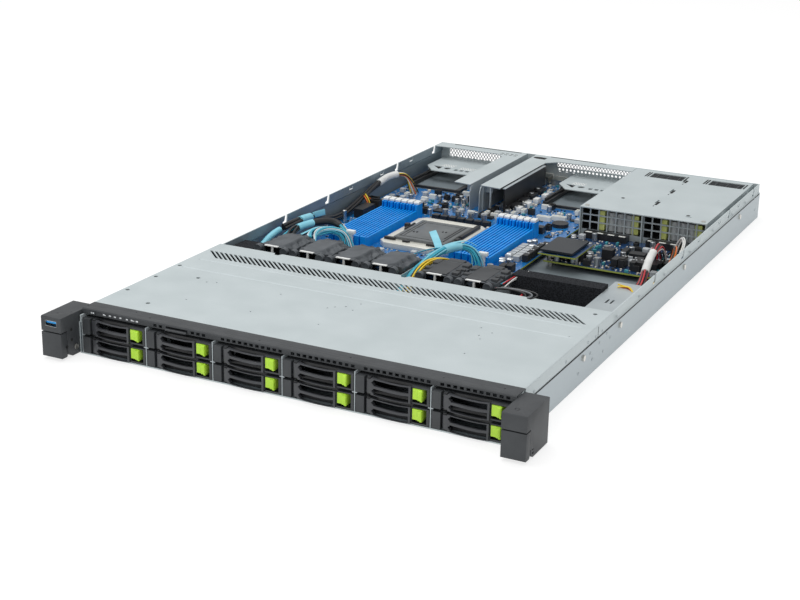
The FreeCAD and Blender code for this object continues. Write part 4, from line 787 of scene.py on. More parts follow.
clip = block("clip", (-8.6, -1.6, -0.5), (7.4, 1.6, 0.5))
pick(clip, "FACE", lambda c, n: n.y > 0.5)
inset(0.3)
extrude(0, 1.2, 0)
rounded(clip, 0.25)
put("fan_clips", clip, [(x, FAN_Y + 0.4, 42.6) for x in FAN_X], "fan_plastic", latch_white)

# %% [markdown]
# The last two fans have stiff moulded covers in place of loose rubber: a raised plate with ribs around it.
# The plate is a block whose top is inset and pushed down, and the ribs are blocks with rounded edges.

# %% Stiff covers on the last two fans
STIFF_RIBS = [((12.5, 14, 37), (19.5, 21, 42.6)), ((12.5, 29, 37), (20.5, 33, 42.2)),
              ((12.5, 40, 37), (19.5, 50, 42.8)), ((-19.5, 18, 37), (-12.5, 24, 42.4)),
              ((-19.5, 36, 37), (-12.5, 48, 42.6)), ((-8, 47, 40), (10, 57, 42.9)),
              ((13.5, 23, 37), (18, 26.5, 43.0))]
parts = []
for x in FAN_X[LOOSE_FANS:]:
    plate = block("plate", (x - 11, FAN_Y + 4, 42.3), (x + 11, FAN_Y + 44, 43.3))
    pick_top(plate)
    inset(1.4, -0.4)
    parts.append(rounded(plate, 0.15, 1))
    for (x0, y0, z0), (x1, y1, z1) in STIFF_RIBS:
        parts.append(soft_block((x + x0, FAN_Y + y0, z0), (x + x1, FAN_Y + y1, z1), 0.4))
hand_over(join("fan_stiff_covers", parts), "fan_plastic", charcoal)

# %% [markdown]
# ## Wires
# The looms are held at both ends, so each one keeps its place. A loom is a handful of thin wires that turn
# slowly about a common line and pass through tape, heat-shrink tube or woven sleeve. One thick tube would
# look like a hose, so every wire is its own curve, offset from the line by its place in the loom. Wire
# insulation is soft PVC with a dull shine, tape is acetate cloth and the sleeve is woven.

# %% Finishes of wires and tapes
sheath_black = moulded("pvc_wire_black", "1A1B1D", "26272A", 0.36, 0.8, 0.03)
sheath_yellow = moulded("pvc_wire_yellow", "E5C21C", "F0D235", 0.38, 0.8, 0.03)
sheath_orange = moulded("pvc_wire_orange", "D8661C", "E87A30", 0.38, 0.8, 0.03)
sheath_red = moulded("pvc_wire_red", "B81E28", "CC2C36", 0.38, 0.8, 0.03)
sheath_white = moulded("pvc_wire_white", "DADBD8", "EAEAE8", 0.42, 0.8, 0.03)
sheath_grey = moulded("pvc_wire_grey", "6E7276", "83878B", 0.42, 0.8, 0.03)
tape_cyan = moulded("acetate_tape_cyan", "7CC8DC", "95D8E8", 0.40, 2.0, 0.08)
tape_teal = moulded("acetate_tape_teal", "2BA3BC", "46B8CE", 0.38, 2.0, 0.08)
sleeve_white = moulded("woven_sleeve_white", "D5D7D5", "EDEEEC", 0.60, 0.9, 0.15)
print("wire and tape finishes:", sheath_black.name, tape_cyan.name, sleeve_white.name)


# %% A smooth line, and a tube along it
def line_through(points, steps=10):
    """Points a few mm apart on the smooth line that a loom takes between its ties."""
    data = bpy.data.curves.new("line", "CURVE")
    data.dimensions = "3D"
    data.resolution_u = steps
    run = data.splines.new("NURBS")
    run.points.add(len(points) - 1)
    for at, p in zip(run.points, points):
        at.co = (*spot(*p), 1)
    run.order_u = 3
    run.use_endpoint_u = True
    guide = bpy.data.objects.new("line", data)
    mesh = bpy.data.meshes.new_from_object(guide)
    out = [v.co.copy() for v in mesh.vertices]
    bpy.data.objects.remove(guide)
    bpy.data.meshes.remove(mesh)
    return out


def stretch(line, start, end):
    """The part of a line between two shares of its points."""
    last = len(line) - 1
    return line[round(start * last):round(end * last) + 1]


def tube(name, line, radius, finish, sides=1):
    """A round tube in mm along a line of points in metres, as a curve."""
    data = bpy.data.curves.new(name, "CURVE")
    data.dimensions = "3D"
    data.bevel_depth = radius * MM
    data.bevel_resolution = sides
    data.use_fill_caps = True
    run = data.splines.new("POLY")
    run.points.add(len(line) - 1)
    for at, p in zip(run.points, line):
        at.co = (*p, 1)
    run.use_smooth = True
    data.materials.append(finish)
    made = bpy.data.objects.new(name, data)
    bpy.context.scene.collection.objects.link(made)
    return made


def wrap(line, start, end, radius, finish):
    """Tape, shrink tube or woven sleeve around a stretch of a loom."""
    return tube("wrap", stretch(line, start, end), radius, finish, 2)


print("points on a straight line:", len(line_through([(0, 0, 0), (50, 0, 0), (100, 0, 0)])))


# %% Wires around a line, and the loom they make
def wires(line, count, spread, radius, finishes, twist=0.02, fan=(0.0, 0.0), seed=1):
    """Wires that wind about a line at a spread from it, in mm; fan widens the loom towards its two ends."""
    rng = random.Random(seed)
    made = []
    for s in range(count):
        phase = 2 * math.pi * s / count + rng.uniform(-0.3, 0.3)
        wander = rng.uniform(0.75, 1.15)
        path = []
        gone = 0.0
        for i, p in enumerate(line):
            ahead = line[min(i + 1, len(line) - 1)] - line[max(i - 1, 0)]
            side = ahead.cross(Vector((0.2, 0.1, 1))).normalized()
            up = side.cross(ahead).normalized()
            gone += ahead.length / 2 / MM
            t = i / (len(line) - 1)
            r = (spread * wander + fan[0] * max(0, 1 - 3 * t) ** 2 + fan[1] * max(0, 3 * t - 2) ** 2) * MM
            a = phase + twist * gone
            path.append(p + side * r * math.cos(a) + up * r * math.sin(a))
        made.append(tube("wire", path, radius, finishes[s % len(finishes)]))
    return made


def loom(name, parts):
    """Turns curves to meshes and hands the loom over as one piece."""
    take(*parts)
    bpy.ops.object.convert(target="MESH")
    piece = join(name, list(bpy.context.selected_objects))
    return hand_over(piece, "cable_sheath")


print("a loom is made of curves, turned to one mesh")

# %% [markdown]
# ## The looms on the left
# A thick black loom runs along the left wall from the fans to the rear, wrapped in cyan tape at its front
# and split into thin wires at its back. Two more feed the fans from a connector before the memory banks.
# Every point of a route is given one by one, because real looms follow their ties and not a formula.

# %% Left looms
wall = line_through([
    (-209, 262, 20), (-209, 280, 22), (-208, 308, 34), (-203, 345, 37), (-201, 385, 36), (-209, 425, 20),
    (-211, 470, 12), (-211, 520, 21), (-210, 572, 34), (-204, 600, 37.6), (-192, 618, 33), (-188, 622, 9)])
black_run = wires(stretch(wall, 0.2, 0.78), 3, 2.3, 2.1, [sheath_black], 0.012, seed=3)
end_colours = [sheath_yellow, sheath_white, sheath_orange, sheath_black]
split_end = wires(stretch(wall, 0.76, 1.0), 8, 2.0, 0.75, end_colours, 0.03, (0, 4), 4)
wraps = [wrap(wall, 0.0, 0.18, 3.6, tape_cyan), wrap(wall, 0.28, 0.34, 4.9, tape_cyan),
         wrap(wall, 0.74, 0.86, 4.4, sleeve_white)]
wall_loom = loom("loom_left_wall", black_run + split_end + wraps)

over = line_through([
    (-186, 300, 31), (-190, 318, 36.5), (-187, 338, 38), (-181, 360, 38), (-170, 376, 36.5), (-156, 377, 30),
    (-148, 372, 20), (-147, 369, 9)])
thick = wires(stretch(over, 0.0, 0.72), 5, 2.2, 1.4, [sheath_black, sheath_black, tape_teal], 0.03, (3, 0), 5)
thin_colours = [tape_teal, tape_cyan, tape_teal, sheath_white]
thin = wires(stretch(over, 0.62, 1.0), 12, 2.8, 0.7, thin_colours, 0.02, (0, 5), 6)
wraps = [wrap(over, 0.36, 0.7, 4.3, sheath_black), wrap(over, 0.18, 0.36, 4.4, tape_cyan)]
loom("loom_fan_feed", thick + thin + wraps)

second = line_through([
    (-158, 304, 33), (-166, 320, 35), (-170, 344, 34), (-162, 362, 31), (-150, 371, 24), (-146, 368, 9)])
feed_colours = [tape_teal, tape_cyan, sheath_white, tape_teal]
loom("loom_fan_second", wires(second, 15, 3.6, 0.8, feed_colours, 0.02, (2, 4), 8))

# %% [markdown]
# ## The looms in the middle and on the right
# Two looms cross from the fans to the main board in the middle. Along the right wall three run from the
# drives and fans to the power board, and short loose ends lie beside the last fan.

# %% Middle looms
crossed = line_through([
    (-12.7, 222, 14), (-13, 262, 33), (-13, 300, 37.5), (-12, 335, 37.5), (-4, 360, 37), (8, 366, 33),
    (14, 367, 22), (14, 367, 9)])
teal_wires = wires(crossed, 11, 3.0, 0.9, [tape_teal, tape_cyan, tape_teal, tape_teal], 0.015, (0, 4), 9)
wraps = [wrap(crossed, 0.42, 0.60, 4.8, tape_cyan), wrap(crossed, 0.0, 0.12, 3.4, tape_teal)]
loom("loom_drive_feed", teal_wires + wraps)
arch = line_through([
    (-4.5, 222, 14), (-4.5, 246, 34), (-5, 272, 40.5), (-3, 300, 38), (4, 325, 30), (7, 335, 9)])
arch_colours = [sheath_yellow, sheath_yellow, sheath_black, sheath_yellow]
loom("loom_arched", wires(arch, 6, 2.4, 1.0, arch_colours, 0.012, (2, 0), 11))

# %% Supply looms along the right wall
supply = line_through([
    (200, 262, 30), (200, 300, 33), (200, 345, 24), (196, 380, 25), (189, 415, 32), (184, 450, 36),
    (181, 486, 32), (180.5, 489, 9)])
supply_colours = [sheath_red, sheath_black, sheath_red, sheath_black, sheath_white]
supply_wires = wires(stretch(supply, 0.12, 1.0), 9, 2.9, 1.0, supply_colours, 0.02, (1, 5), 12)
loom("loom_supply", supply_wires + [wrap(supply, 0.50, 0.74, 4.5, sleeve_white)])

sense = line_through([
    (207, 296, 24), (208, 380, 20), (208, 455, 22), (207, 495, 36), (196, 515, 37), (187.5, 517, 9)])
sense_colours = [sheath_white, sheath_yellow, sheath_black, sheath_white]
loom("loom_sense", wires(sense, 5, 1.9, 0.8, sense_colours, 0.02, (0, 3), 14))
pulled = line_through([
    (204, 298, 18), (205, 380, 14), (204, 430, 20), (205, 455, 30), (200, 480, 34), (193, 498, 28),
    (192, 503, 9)])
pulled_colours = [sheath_orange, sheath_yellow, sheath_orange, sheath_black]
loom("loom_orange", wires(pulled, 4, 1.9, 0.9, pulled_colours, 0.02, (1, 3), 15))
tail = line_through([(211, 300, 37), (207, 306, 39.5), (200, 309, 39.5), (193, 307, 39.0)])
loom("loom_tail", wires(tail, 3, 0.9, 0.7, [sheath_yellow, sheath_yellow, sheath_red], 0.05, (0, 1.5), 16))

# %% Fan wires beside the last fan
fan_end = line_through([(88, 262, 35), (92, 276, 38.6), (95, 292, 38.6), (99, 300, 38.4)])
fan_colours = [sheath_white, sheath_red, tape_teal, sheath_black]
loom("loom_fan_tail", wires(fan_end, 5, 1.6, 0.7, fan_colours, 0.03, (1, 2), 17))
LOOPS = [(34, 39.8, sheath_black), (40, 40.4, sheath_grey), (29, 39.2, sheath_red), (44, 40.0, sheath_black),
         (37, 39.0, sheath_grey)]
loops = []
for n, (reach, high, finish) in enumerate(LOOPS):
    route = line_through([
        (86, 246 + n, 36), (96 + n, 243 + n, high), (86 + reach, 240 + 2 * n, high),
        (92 + reach, 232 + 2 * n, high - 2), (80 + reach, 227 + n, high - 5)])
    loops.append(tube("loop", route, 1.0, finish))
loom("loom_loops", loops)
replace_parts(wall_loom, "cables")

# %% [markdown]
# ## Straps of folded tape
# Flat bands of tape hold the looms together in the middle and on the left. A band is a curve drawn out
# sideways with a little thickness, and the tilt of its points tells whether it lies flat or stands on its
# edge.

# %% Straps of folded tape
def strap(points, width, finish, turn):
    """A flat band of tape along a line, width in mm; turned by 90 degrees it lies flat, by 0 it stands up."""
    piece = tube("strap", line_through(points, 6), 0.35, finish)
    piece.data.twist_mode = "Z_UP"
    piece.data.extrude = width / 2 * MM
    for spline in piece.data.splines:
        for point in spline.points:
            point.tilt = math.radians(turn)
    return piece


loom("straps_middle", [
    strap([(-13, 330, 34), (-21, 342, 38), (-33, 360, 40.5), (-46, 379, 42)], 7.4, tape_cyan, 75),
    strap([(-25, 322, 33), (-16, 340, 39.5), (-7, 357, 41.5), (2, 370, 41), (9, 374, 35)],
          6.6, tape_cyan, 80),
    strap([(-40, 312, 33), (-31, 322, 37), (-22, 334, 38), (-12, 352, 36)], 5.0, tape_teal, 60),
    strap([(-12, 340, 33), (-4, 356, 34), (4, 366, 33), (12, 366, 24)], 4.2, tape_teal, 30)])
loom("straps_left", [
    strap([(-200, 384, 36.5), (-196, 390, 38), (-191, 396, 39)], 6.4, tape_cyan, 0),
    strap([(-178, 318, 34), (-172, 332, 37.5), (-170, 352, 37), (-162, 366, 31)], 5.4, tape_cyan, 75),
    strap([(-172, 312, 31), (-160, 330, 33), (-154, 352, 32)], 5.0, tape_teal, 60)])

# %% [markdown]
# ## Processor frame
# The processor sits in a stamped steel frame whose corners are cut off, under a dark plastic cover with two
# raised outlines. The stacked blocks of the CAD part are replaced by one stamped ring and one moulded
# cover, both shaped by insets, because it is the outlines that catch the light.

# %% Stamped ring
RING_HALF = (44.0, 57.5)
BOARD_TOP = 9.0
cover_grey = moulded("pa66_cover_dark_grey", "5C6062", "6C7072", 0.45, 0.6, 0.04)
ring = block("processor_frame", (CPU[0] - RING_HALF[0], CPU[1] - RING_HALF[1], BOARD_TOP),
             (CPU[0] + RING_HALF[0], CPU[1] + RING_HALF[1], 15.4))
pick(ring, "EDGE", lambda c, d: abs(d.z) > 0.9)
bpy.ops.mesh.bevel(offset=8.0 * MM, segments=1, affect="EDGES")
pick_top(ring)
inset(1.2, 0.5)
inset(9.5)
inset(0.5, -1.6)
rounded(ring, 0.4)
hand_over(ring, "nickel", frame_steel)
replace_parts(ring, "cpu_socket")

# %% Moulded cover with two raised outlines
CX = CPU[0] - 1.0
CY = CPU[1] + 1.0
COVER_STEPS = [(1.2, 0.6), (3.2, 0.0), (0.5, -1.6), (1.1, 0.0), (0.5, 1.8), (1.8, 0.0), (0.4, -1.2),
               (0.8, 0.0), (0.4, 0.9)]
lid = block("processor_cover", (CX - 32.5, CY - 38.0, 14.0), (CX + 32.5, CY + 38.0, 17.4))
for width, depth in COVER_STEPS:
    pick(lid, "FACE", lambda c, n: n.z > 0.9 and math.hypot(c.x - CX, c.y - CY) < 1.0)
    inset(width, depth)
rounded(lid, 0.2, 1)
hand_over(lid, "charcoal_plastic", cover_grey)

# %% Clamps around the cover: middle from the cover's middle, width, depth, bottom and top
CLAMPS = [(-19.5, -12, 1.5, 3.2, 17, 18.6), (-15.5, -11.4, 1.5, 3.2, 17, 18.6), (10.5, 3, 1.5, 3.2, 17, 18.6),
          (14.5, 3.6, 1.5, 3.2, 17, 18.6), (24.0, 4, 1.4, 50, 17, 18.7), (37.6, 18, 5.0, 52, 14, 19.6),
          (-37.5, 8, 5.5, 6, 14, 20.5), (-34.5, 8.5, 2.5, 26, 14, 18.3), (-33, -46, 13, 5, 14, 18.8),
          (-12, -47, 8, 5, 14, 18.0), (22, -47, 16, 5.5, 14, 18.4), (37, -14, 4, 9, 14, 18.6)]
clamps = []
for dx, dy, width, depth, low, high in CLAMPS:
    x, y = CX + dx, CY + dy
    front_left = (x - width / 2, y - depth / 2, low)
    rear_right = (x + width / 2, y + depth / 2, high)
    clamps.append(soft_block(front_left, rear_right, min(0.5, width / 5)))
hand_over(join("processor_clamps", clamps), "black_plastic", black)

# %% [markdown]
# ## Latches at the front of the memory banks
# Each bank has a tall white latch at its front corner: a stem with a head that a thumb presses. The stem is
# extruded from a narrow block, and the head is widened from its top face.

# %% Front memory latches
LATCH_TOP = 24.5
for k, (x, y) in enumerate(((-145.0, 373.5), (18.5, 372.0))):
    stem = block(f"front_latch_{k + 1}", (x - 1.9, y - 2.2, BOARD_TOP), (x + 1.9, y + 2.2, LATCH_TOP))
    pick_top(stem)
    extrude(0, 0, 1.2)
    bpy.ops.transform.resize(value=(2.7, 1.25, 1.0), center_override=spot(x, y, LATCH_TOP + 1.2))
    extrude(0, 0, 4.2)
    inset(1.0, -0.8)
    rounded(stem, 0.35)
    hand_over(stem, "white_plastic", latch_white)

# %% [markdown]
# ## Small parts on the boards
# A server board carries hundreds of resistors, chips, chokes and capacitors. Each kind is modelled once
# with a few dozen faces and strewn over the free areas with a fixed seed, keeping off the sockets, frames
# and cages. Copies keep clear of each other by a list of the places already taken.

# %% Finishes of the small parts
ceramic = moulded("ceramic_capacitor_tan", "C9C2B4", "E2DDD2", 0.45, 0.4, 0.02)
resin = moulded("epoxy_chip_black", "17181A", "222325", 0.48, 0.3, 0.05)
connector_white = moulded("nylon_connector_white", "DFE0DA", "ECEDE8", 0.42, 0.5, 0.02)
solder = bare_metal("tin_plated_pads", "BFC3C6", "DDE0E2", 0.35)
signal_teal = moulded("polyester_capacitor_teal", "2E7F8C", "47A0AC", 0.40, 0.5, 0.02)
print("part finishes:", [m.name for m in (ceramic, resin, connector_white, solder, signal_teal)])

# %% Free areas, as (left, front, right, rear) in mm, and one way to strew a kind of part
KEEP_OFF = [(-124, 392, -32, 510), (-179, 374, -128, 532), (-28, 374, 23, 532), (-212, 646, -132, 770),
            (-26, 646, 55, 770), (-97, 580, -75, 770), (26, 345, 52, 372), (22, 418, 44, 476),
            (-118, 523, -38, 552), (-212, 482, -187, 520), (8, 560, 44, 592), (-60, 296, 8, 330),
            (-150, 360, -138, 380)]
BOARD_AREA = [(-213, 312, 50, 660), (-130, 570, -26, 764)]
BEHIND_BANKS = [(-205, 535, 50, 645)]
BEFORE_CPU = [(-120, 330, -40, 385)]
REAR_MIDDLE = [(-128, 575, -96, 762), (-72, 560, -28, 762)]
POWER_AREA = [(63, 443, 206, 541)]
taken = []


def strew(name, part, areas, count, reach, slot, *finishes, seed, crowd=0.75):
    """Copies of one part at random free places of the areas, each a reach in mm from its neighbours."""
    rng = random.Random(seed)
    sizes = [(x1 - x0) * (y1 - y0) for x0, y0, x1, y1 in areas]
    places = []
    for _ in range(count * 12):
        if len(places) == count:
            break
        x0, y0, x1, y1 = rng.choices(areas, sizes)[0]
        x, y = rng.uniform(x0, x1), rng.uniform(y0, y1)
        if any(a - reach < x < c + reach and b - reach < y < d + reach for a, b, c, d in KEEP_OFF):
            continue
        if any(math.hypot(x - a, y - b) < (reach + r) * crowd for a, b, r in taken):
            continue
        taken.append((x, y, reach))
        places.append((x, y, BOARD_TOP, rng.choice((0, 90, 180, 270))))
    return put(name, part, places, slot, *finishes)


print("areas kept free:", len(KEEP_OFF))


# %% The kinds of small parts
def chip(w, d, h, edge=0.15):
    """A flat part on its underside's middle: a chip, a choke or a resistor, by its size in mm."""
    return soft_block((-w / 2, -d / 2, 0), (w / 2, d / 2, h), edge, 1)


def capped(radius, high):
    """A can with a rounded top."""
    return rounded(disc("part", (0, 0, high / 2), radius, high, "Z", 12), 0.5, 1)


def socket(w, d, h):
    """A connector: a block whose top is hollowed."""
    piece = block("part", (-w / 2, -d / 2, 0), (w / 2, d / 2, h))
    pick_top(piece)
    inset(0.8)
    inset(0.1, -h * 0.6)
    return rounded(piece, 0.2, 1)


print("kinds: chip, can and socket")

# %% Main board
WHOLE_BOARD = BOARD_AREA + REAR_MIDDLE
strew("board_sockets_white", socket(9, 4.5, 6), BEHIND_BANKS, 16, 5.5, "white_plastic", connector_white,
      seed=21)
strew("board_sockets_black", socket(8, 6, 7), BEHIND_BANKS + REAR_MIDDLE, 20, 5.5, "black_plastic", resin,
      seed=22)
strew("board_chokes", chip(6.5, 6.5, 5.5, 0.6), BEHIND_BANKS + BEFORE_CPU + REAR_MIDDLE, 30, 5.0, "nickel",
      core_grey, seed=23)
strew("board_cans", capped(3.0, 7.5), BEHIND_BANKS + REAR_MIDDLE, 34, 4.0, "nickel", aluminium, seed=24)
strew("board_chips", chip(7, 7, 1.3), BOARD_AREA, 34, 5.2, "black_plastic", resin, seed=25)
strew("board_coils", chip(4.0, 3.2, 3.0, 0.4), WHOLE_BOARD, 70, 3.0, "circuit_board", ceramic, seed=26)
strew("board_films", chip(4.2, 2.4, 2.6, 0.3), WHOLE_BOARD, 40, 3.0, "circuit_board", signal_teal, seed=27)
strew("board_small_black", chip(2.6, 1.6, 1.2), BOARD_AREA, 170, 1.7, "black_plastic", resin, seed=28)
strew("board_small_pale", chip(2.2, 1.2, 1.0, 0.12), WHOLE_BOARD, 420, 1.4, "circuit_board", ceramic, seed=29)
strew("board_pads", chip(2.6, 2.2, 0.4, 0.1), WHOLE_BOARD, 320, 1.5, "nickel", solder, seed=30)

# %% Power board
strew("power_cans", capped(3.3, 9.5), POWER_AREA, 18, 5.0, "nickel", aluminium, seed=31)
strew("power_sockets", socket(8, 5, 7), POWER_AREA, 9, 5.2, "black_plastic", resin, seed=32)
strew("power_chokes", chip(7, 7, 6, 0.6), POWER_AREA, 12, 5.2, "nickel", core_grey, seed=33)
strew("power_films", chip(4.6, 2.6, 3.4, 0.3), POWER_AREA, 26, 3.2, "circuit_board", signal_teal, seed=34)
strew("power_small_black", chip(3.0, 2.0, 1.6), POWER_AREA, 70, 2.0, "black_plastic", resin, seed=35)
strew("power_small_pale", chip(2.4, 1.4, 1.0, 0.12), POWER_AREA, 200, 1.6, "circuit_board", ceramic, seed=36)

# %% [markdown]
# ## Chokes, relays and connectors at known places
# Some larger parts stand where they are plain to see: pale chokes right of the second bank, relays along
# the board edge, a connector with orange wires by the left wall and a tall stand-off. They are made once
# and put at their listed places.

# %% Pale chokes and relays
choke = chip(6.4, 6.4, 7.6, 0.9)
pick(choke, "FACE", lambda c, n: n.z > 0.9 and c.z > 7)
inset(0.7, 0.5)
choke_places = [(28, 424), (28, 403), (36, 406), (31, 396), (29, 481), (38, 466), (33, 486)]
put("pale_chokes", choke, [(x, y, BOARD_TOP) for x, y in choke_places], "nickel", solder)

RELAY_Y = (428, 442, 456, 470)
edge_places = [(47, y, BOARD_TOP) for y in RELAY_Y] + [(39.5, 380, BOARD_TOP), (46.5, 384, BOARD_TOP)]
put("edge_relays", chip(6.5, 12.5, 8.6, 0.5), edge_places, "black_plastic", resin)
dots = [(45.5 + 2.4 * k, y + 3, 17.6) for y in RELAY_Y for k in range(2)]
put("edge_relay_dots", capped(1.1, 0.35), dots, "nickel", solder)

POWER_RELAYS = [(161, 458), (169.2, 461), (146.4, 465), (186.5, 470), (194.5, 473), (139, 494)]
relay_places = [(x, y, BOARD_TOP) for x, y in POWER_RELAYS]
put("power_relays", chip(6.6, 13.5, 10.4, 0.5), relay_places, "black_plastic", resin)
dots = [(x + dx, y + 3.2, 19.4) for x, y in POWER_RELAYS[:4] for dx in (-1.5, 1.5)]
put("power_relay_dots", capped(1.1, 0.35), dots, "nickel", solder)

# %% Stand-off, connectors and pins
tall = capped(2.6, 15.0)
pick_top(tall)
inset(0.6)
extrude(0, 0, 1.5)
put("tall_standoff", tall, [(-200.9, 461, BOARD_TOP)], "nickel", nickel)
long_places = [(20, 597, BOARD_TOP), (4, 588, BOARD_TOP)]
put("long_connectors", socket(18, 6, 6), long_places, "white_plastic", connector_white)
side_places = [(-203, 541, BOARD_TOP), (-196, 532, BOARD_TOP)]
put("side_connector", socket(13, 9, 12), side_places, "black_plastic", resin)
brown = line_through([(-208, 536, 20), (-210, 529, 25), (-203, 522, 24), (-199, 520, 15), (-199, 519, 9)])
loom("loom_brown", wires(brown, 6, 2.2, 0.8, [sheath_orange, sheath_yellow, sheath_black], 0.03, (1, 2), 31))
pin_places = [(165 + 3.4 * i, 516 + 5 * k, BOARD_TOP) for i in range(7) for k in range(2)]
put("power_pins", chip(1.1, 1.1, 3.4, 0.15), pin_places, "nickel", solder)
pad_places = [(x0 + 16 + 13.5 * i, 546.4, 16.3) for x0 in PSU_LEFT for i in range(4)]
put("plug_pads", chip(8.0, 2.4, 0.8, 0.2), pad_places, "white_plastic", connector_white)

# %% [markdown]
# Beside the right riser plate runs a second, narrower lip, with the dark face of a riser card under it and
# white headers along its foot. That black face is partly the card's own colour and partly painted shade
# under the lip. A third upright stands between the two webs.

# %% Second lip, riser card and headers
lip = [soft_block((-52.6, 590, 40.2), (-48.6, 724, 41.0), 0.3),
       soft_block((-66.2, 583, 9.2), (-65.2, 587, 40.6), 0.3)]
hand_over(join("riser_lip", lip), "zinc_steel", zinc_dimmed_painted_shade)
# The card's black stands partly for painted shade under the lip.
card = [soft_block((-54.8, 600, 12), (-53.2, 736, 39.6), 0.2, 1),
        soft_block((-56, 606, 9.1), (-50.5, 700, 14), 0.5)]
card += [soft_block((-50.5, y, 9.1), (-42.0, y + 18, 15.5), 0.6) for y in (612, 639, 666, 693)]
hand_over(join("riser_card", card), "black_plastic", black)
headers = []
for k in range(4):
    x, y = -40.5 + 2 * k, 603 + 24 * k
    headers.append(soft_block((x, y, 9.1), (x + 7, y + 11, 16.0), 0.7))
hand_over(join("riser_headers", headers), "white_plastic", latch_white)

# %% [markdown]
# ## Card trays and rear wall
# Each network-card bay has black guide rails along its tray. The wall behind is pierced all over with fine
# holes, too many for the CAD part, whose openings are larger. So a copy of that wall with one wide window a
# bay stands in for it, and a lattice of thin crossed strips fills each window. The strips are copied along
# a row, turned both ways, and bisected to the window's edges.

# %% Guide rails
RAILS = [((1.0, 648.5, 9.6), (7.5, 764, 15.5)), ((2.0, 652, 15.0), (5.0, 740, 19.0)),
         ((4.0, 648.0, 9.6), (72.0, 651.5, 13.0)), ((68.0, 648.5, 9.6), (74.5, 764, 13.5))]
rails = []
for left in (-209.8, -23.2):
    for (x0, y0, z0), (x1, y1, z1) in RAILS:
        rails.append(soft_block((left + x0, y0, z0), (left + x1, y1, z1), 0.6))
hand_over(join("card_guide_rails", rails), "black_plastic", black)

# %% Fine mesh in the rear wall
REAR_WALL_Y = 768.4


def mesh_panel(name, x0, x1, z0, z1, pitch=4.3, width=0.75, lean=35):
    """Thin crossed strips in the plane of the rear wall, cut to a rectangle."""
    strips = []
    reach = (z1 - z0) / math.cos(math.radians(lean))
    count = int((x1 - x0 + 2 * reach) / pitch)
    for turn in (-lean, lean):
        strip = block("strip", (-width / 2, -0.2, -reach * 0.75), (width / 2, 0.2, reach * 0.75))
        edit_whole(strip)
        bpy.ops.transform.rotate(value=math.radians(turn), orient_axis="Y", center_override=(0, 0, 0))
        bpy.ops.object.mode_set(mode="OBJECT")
        strips += copy_to(strip, [(x0 - reach + pitch * i, REAR_WALL_Y, (z0 + z1) / 2) for i in range(count)])
        bpy.data.objects.remove(strip)
    panel = join(name, strips)
    sides = [((x0, 0, 0), (-1, 0, 0)), ((x1, 0, 0), (1, 0, 0)),
             ((0, 0, z0), (0, 0, -1)), ((0, 0, z1), (0, 0, 1))]
    for at, away in sides:
        edit_whole(panel)
        bpy.ops.mesh.bisect(plane_co=spot(*at), plane_no=away, clear_outer=True, use_fill=True)
        bpy.ops.object.mode_set(mode="OBJECT")
    return hand_over(panel, "zinc_steel", zinc_dimmed_painted_shade)


mesh_panel("rear_mesh_left", -206.2, -112.8, 25.0, 40.8)
mesh_panel("rear_mesh_right", -50.2, 51.2, 30.0, 40.8)

# %% [markdown]
# ## Marks on the front
# Each lime catch has a stepped face that a fingertip finds: a small block whose front is inset and pulled
# out, which slides with its carrier. Light pipes show as tiny clear blocks at the top of the bezel, and two
# more on the power button move with it.

# %% Stepped faces of the catches
for k in BAYS:
    x0, z0 = bay_place(k)
    low = (x0 + 24.4, FRONT - 1.7, z0 + 4.2)
    high = (x0 + 28.3, FRONT - 0.4, z0 + 13.2)
    tab = block(f"catch_step_{k:02d}", low, high)
    pick(tab, "FACE", lambda c, n: n.y < -0.9)
    inset(0.7, 0.5)
    rounded(tab, 0.25)
    hand_over(tab, "pale_plastic", lime, body=f"drive_carrier_{k:02d}")

# %% Small clear marks, as (left, width, height)
BEZEL_MARKS = [(-192.6, 0.8, 0.7), (-160.6, 0.9, 0.9), (-158.0, 2.4, 1.4)]
marks = [soft_block((x, FRONT + 4.7, 39.8), (x + w, FRONT + 5.3, 39.8 + h), 0.1, 1)
         for x, w, h in BEZEL_MARKS]
hand_over(join("front_marks", marks), "white_plastic", light_clear)
low, high = (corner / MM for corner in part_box("power_button"))
mid_x = (low.x + high.x) / 2
mid_z = (low.z + high.z) / 2
marks = [soft_block((mid_x + x, low.y - 0.15, mid_z - 0.6), (mid_x + x + w, low.y + 0.4, mid_z + 0.6), 0.1, 1)
         for x, w in ((-1.7, 1.2), (0.1, 1.7))]
hand_over(join("button_mark", marks), "white_plastic", light_clear, body="power_button")

# %% [markdown]
# ## Slits and seams
# Slits and joints break up the large plain panels. Each is a thin dark part set in the slit or joint, the
# painted shade that falls there, standing a few tenths of a millimetre proud of the sheet at most.

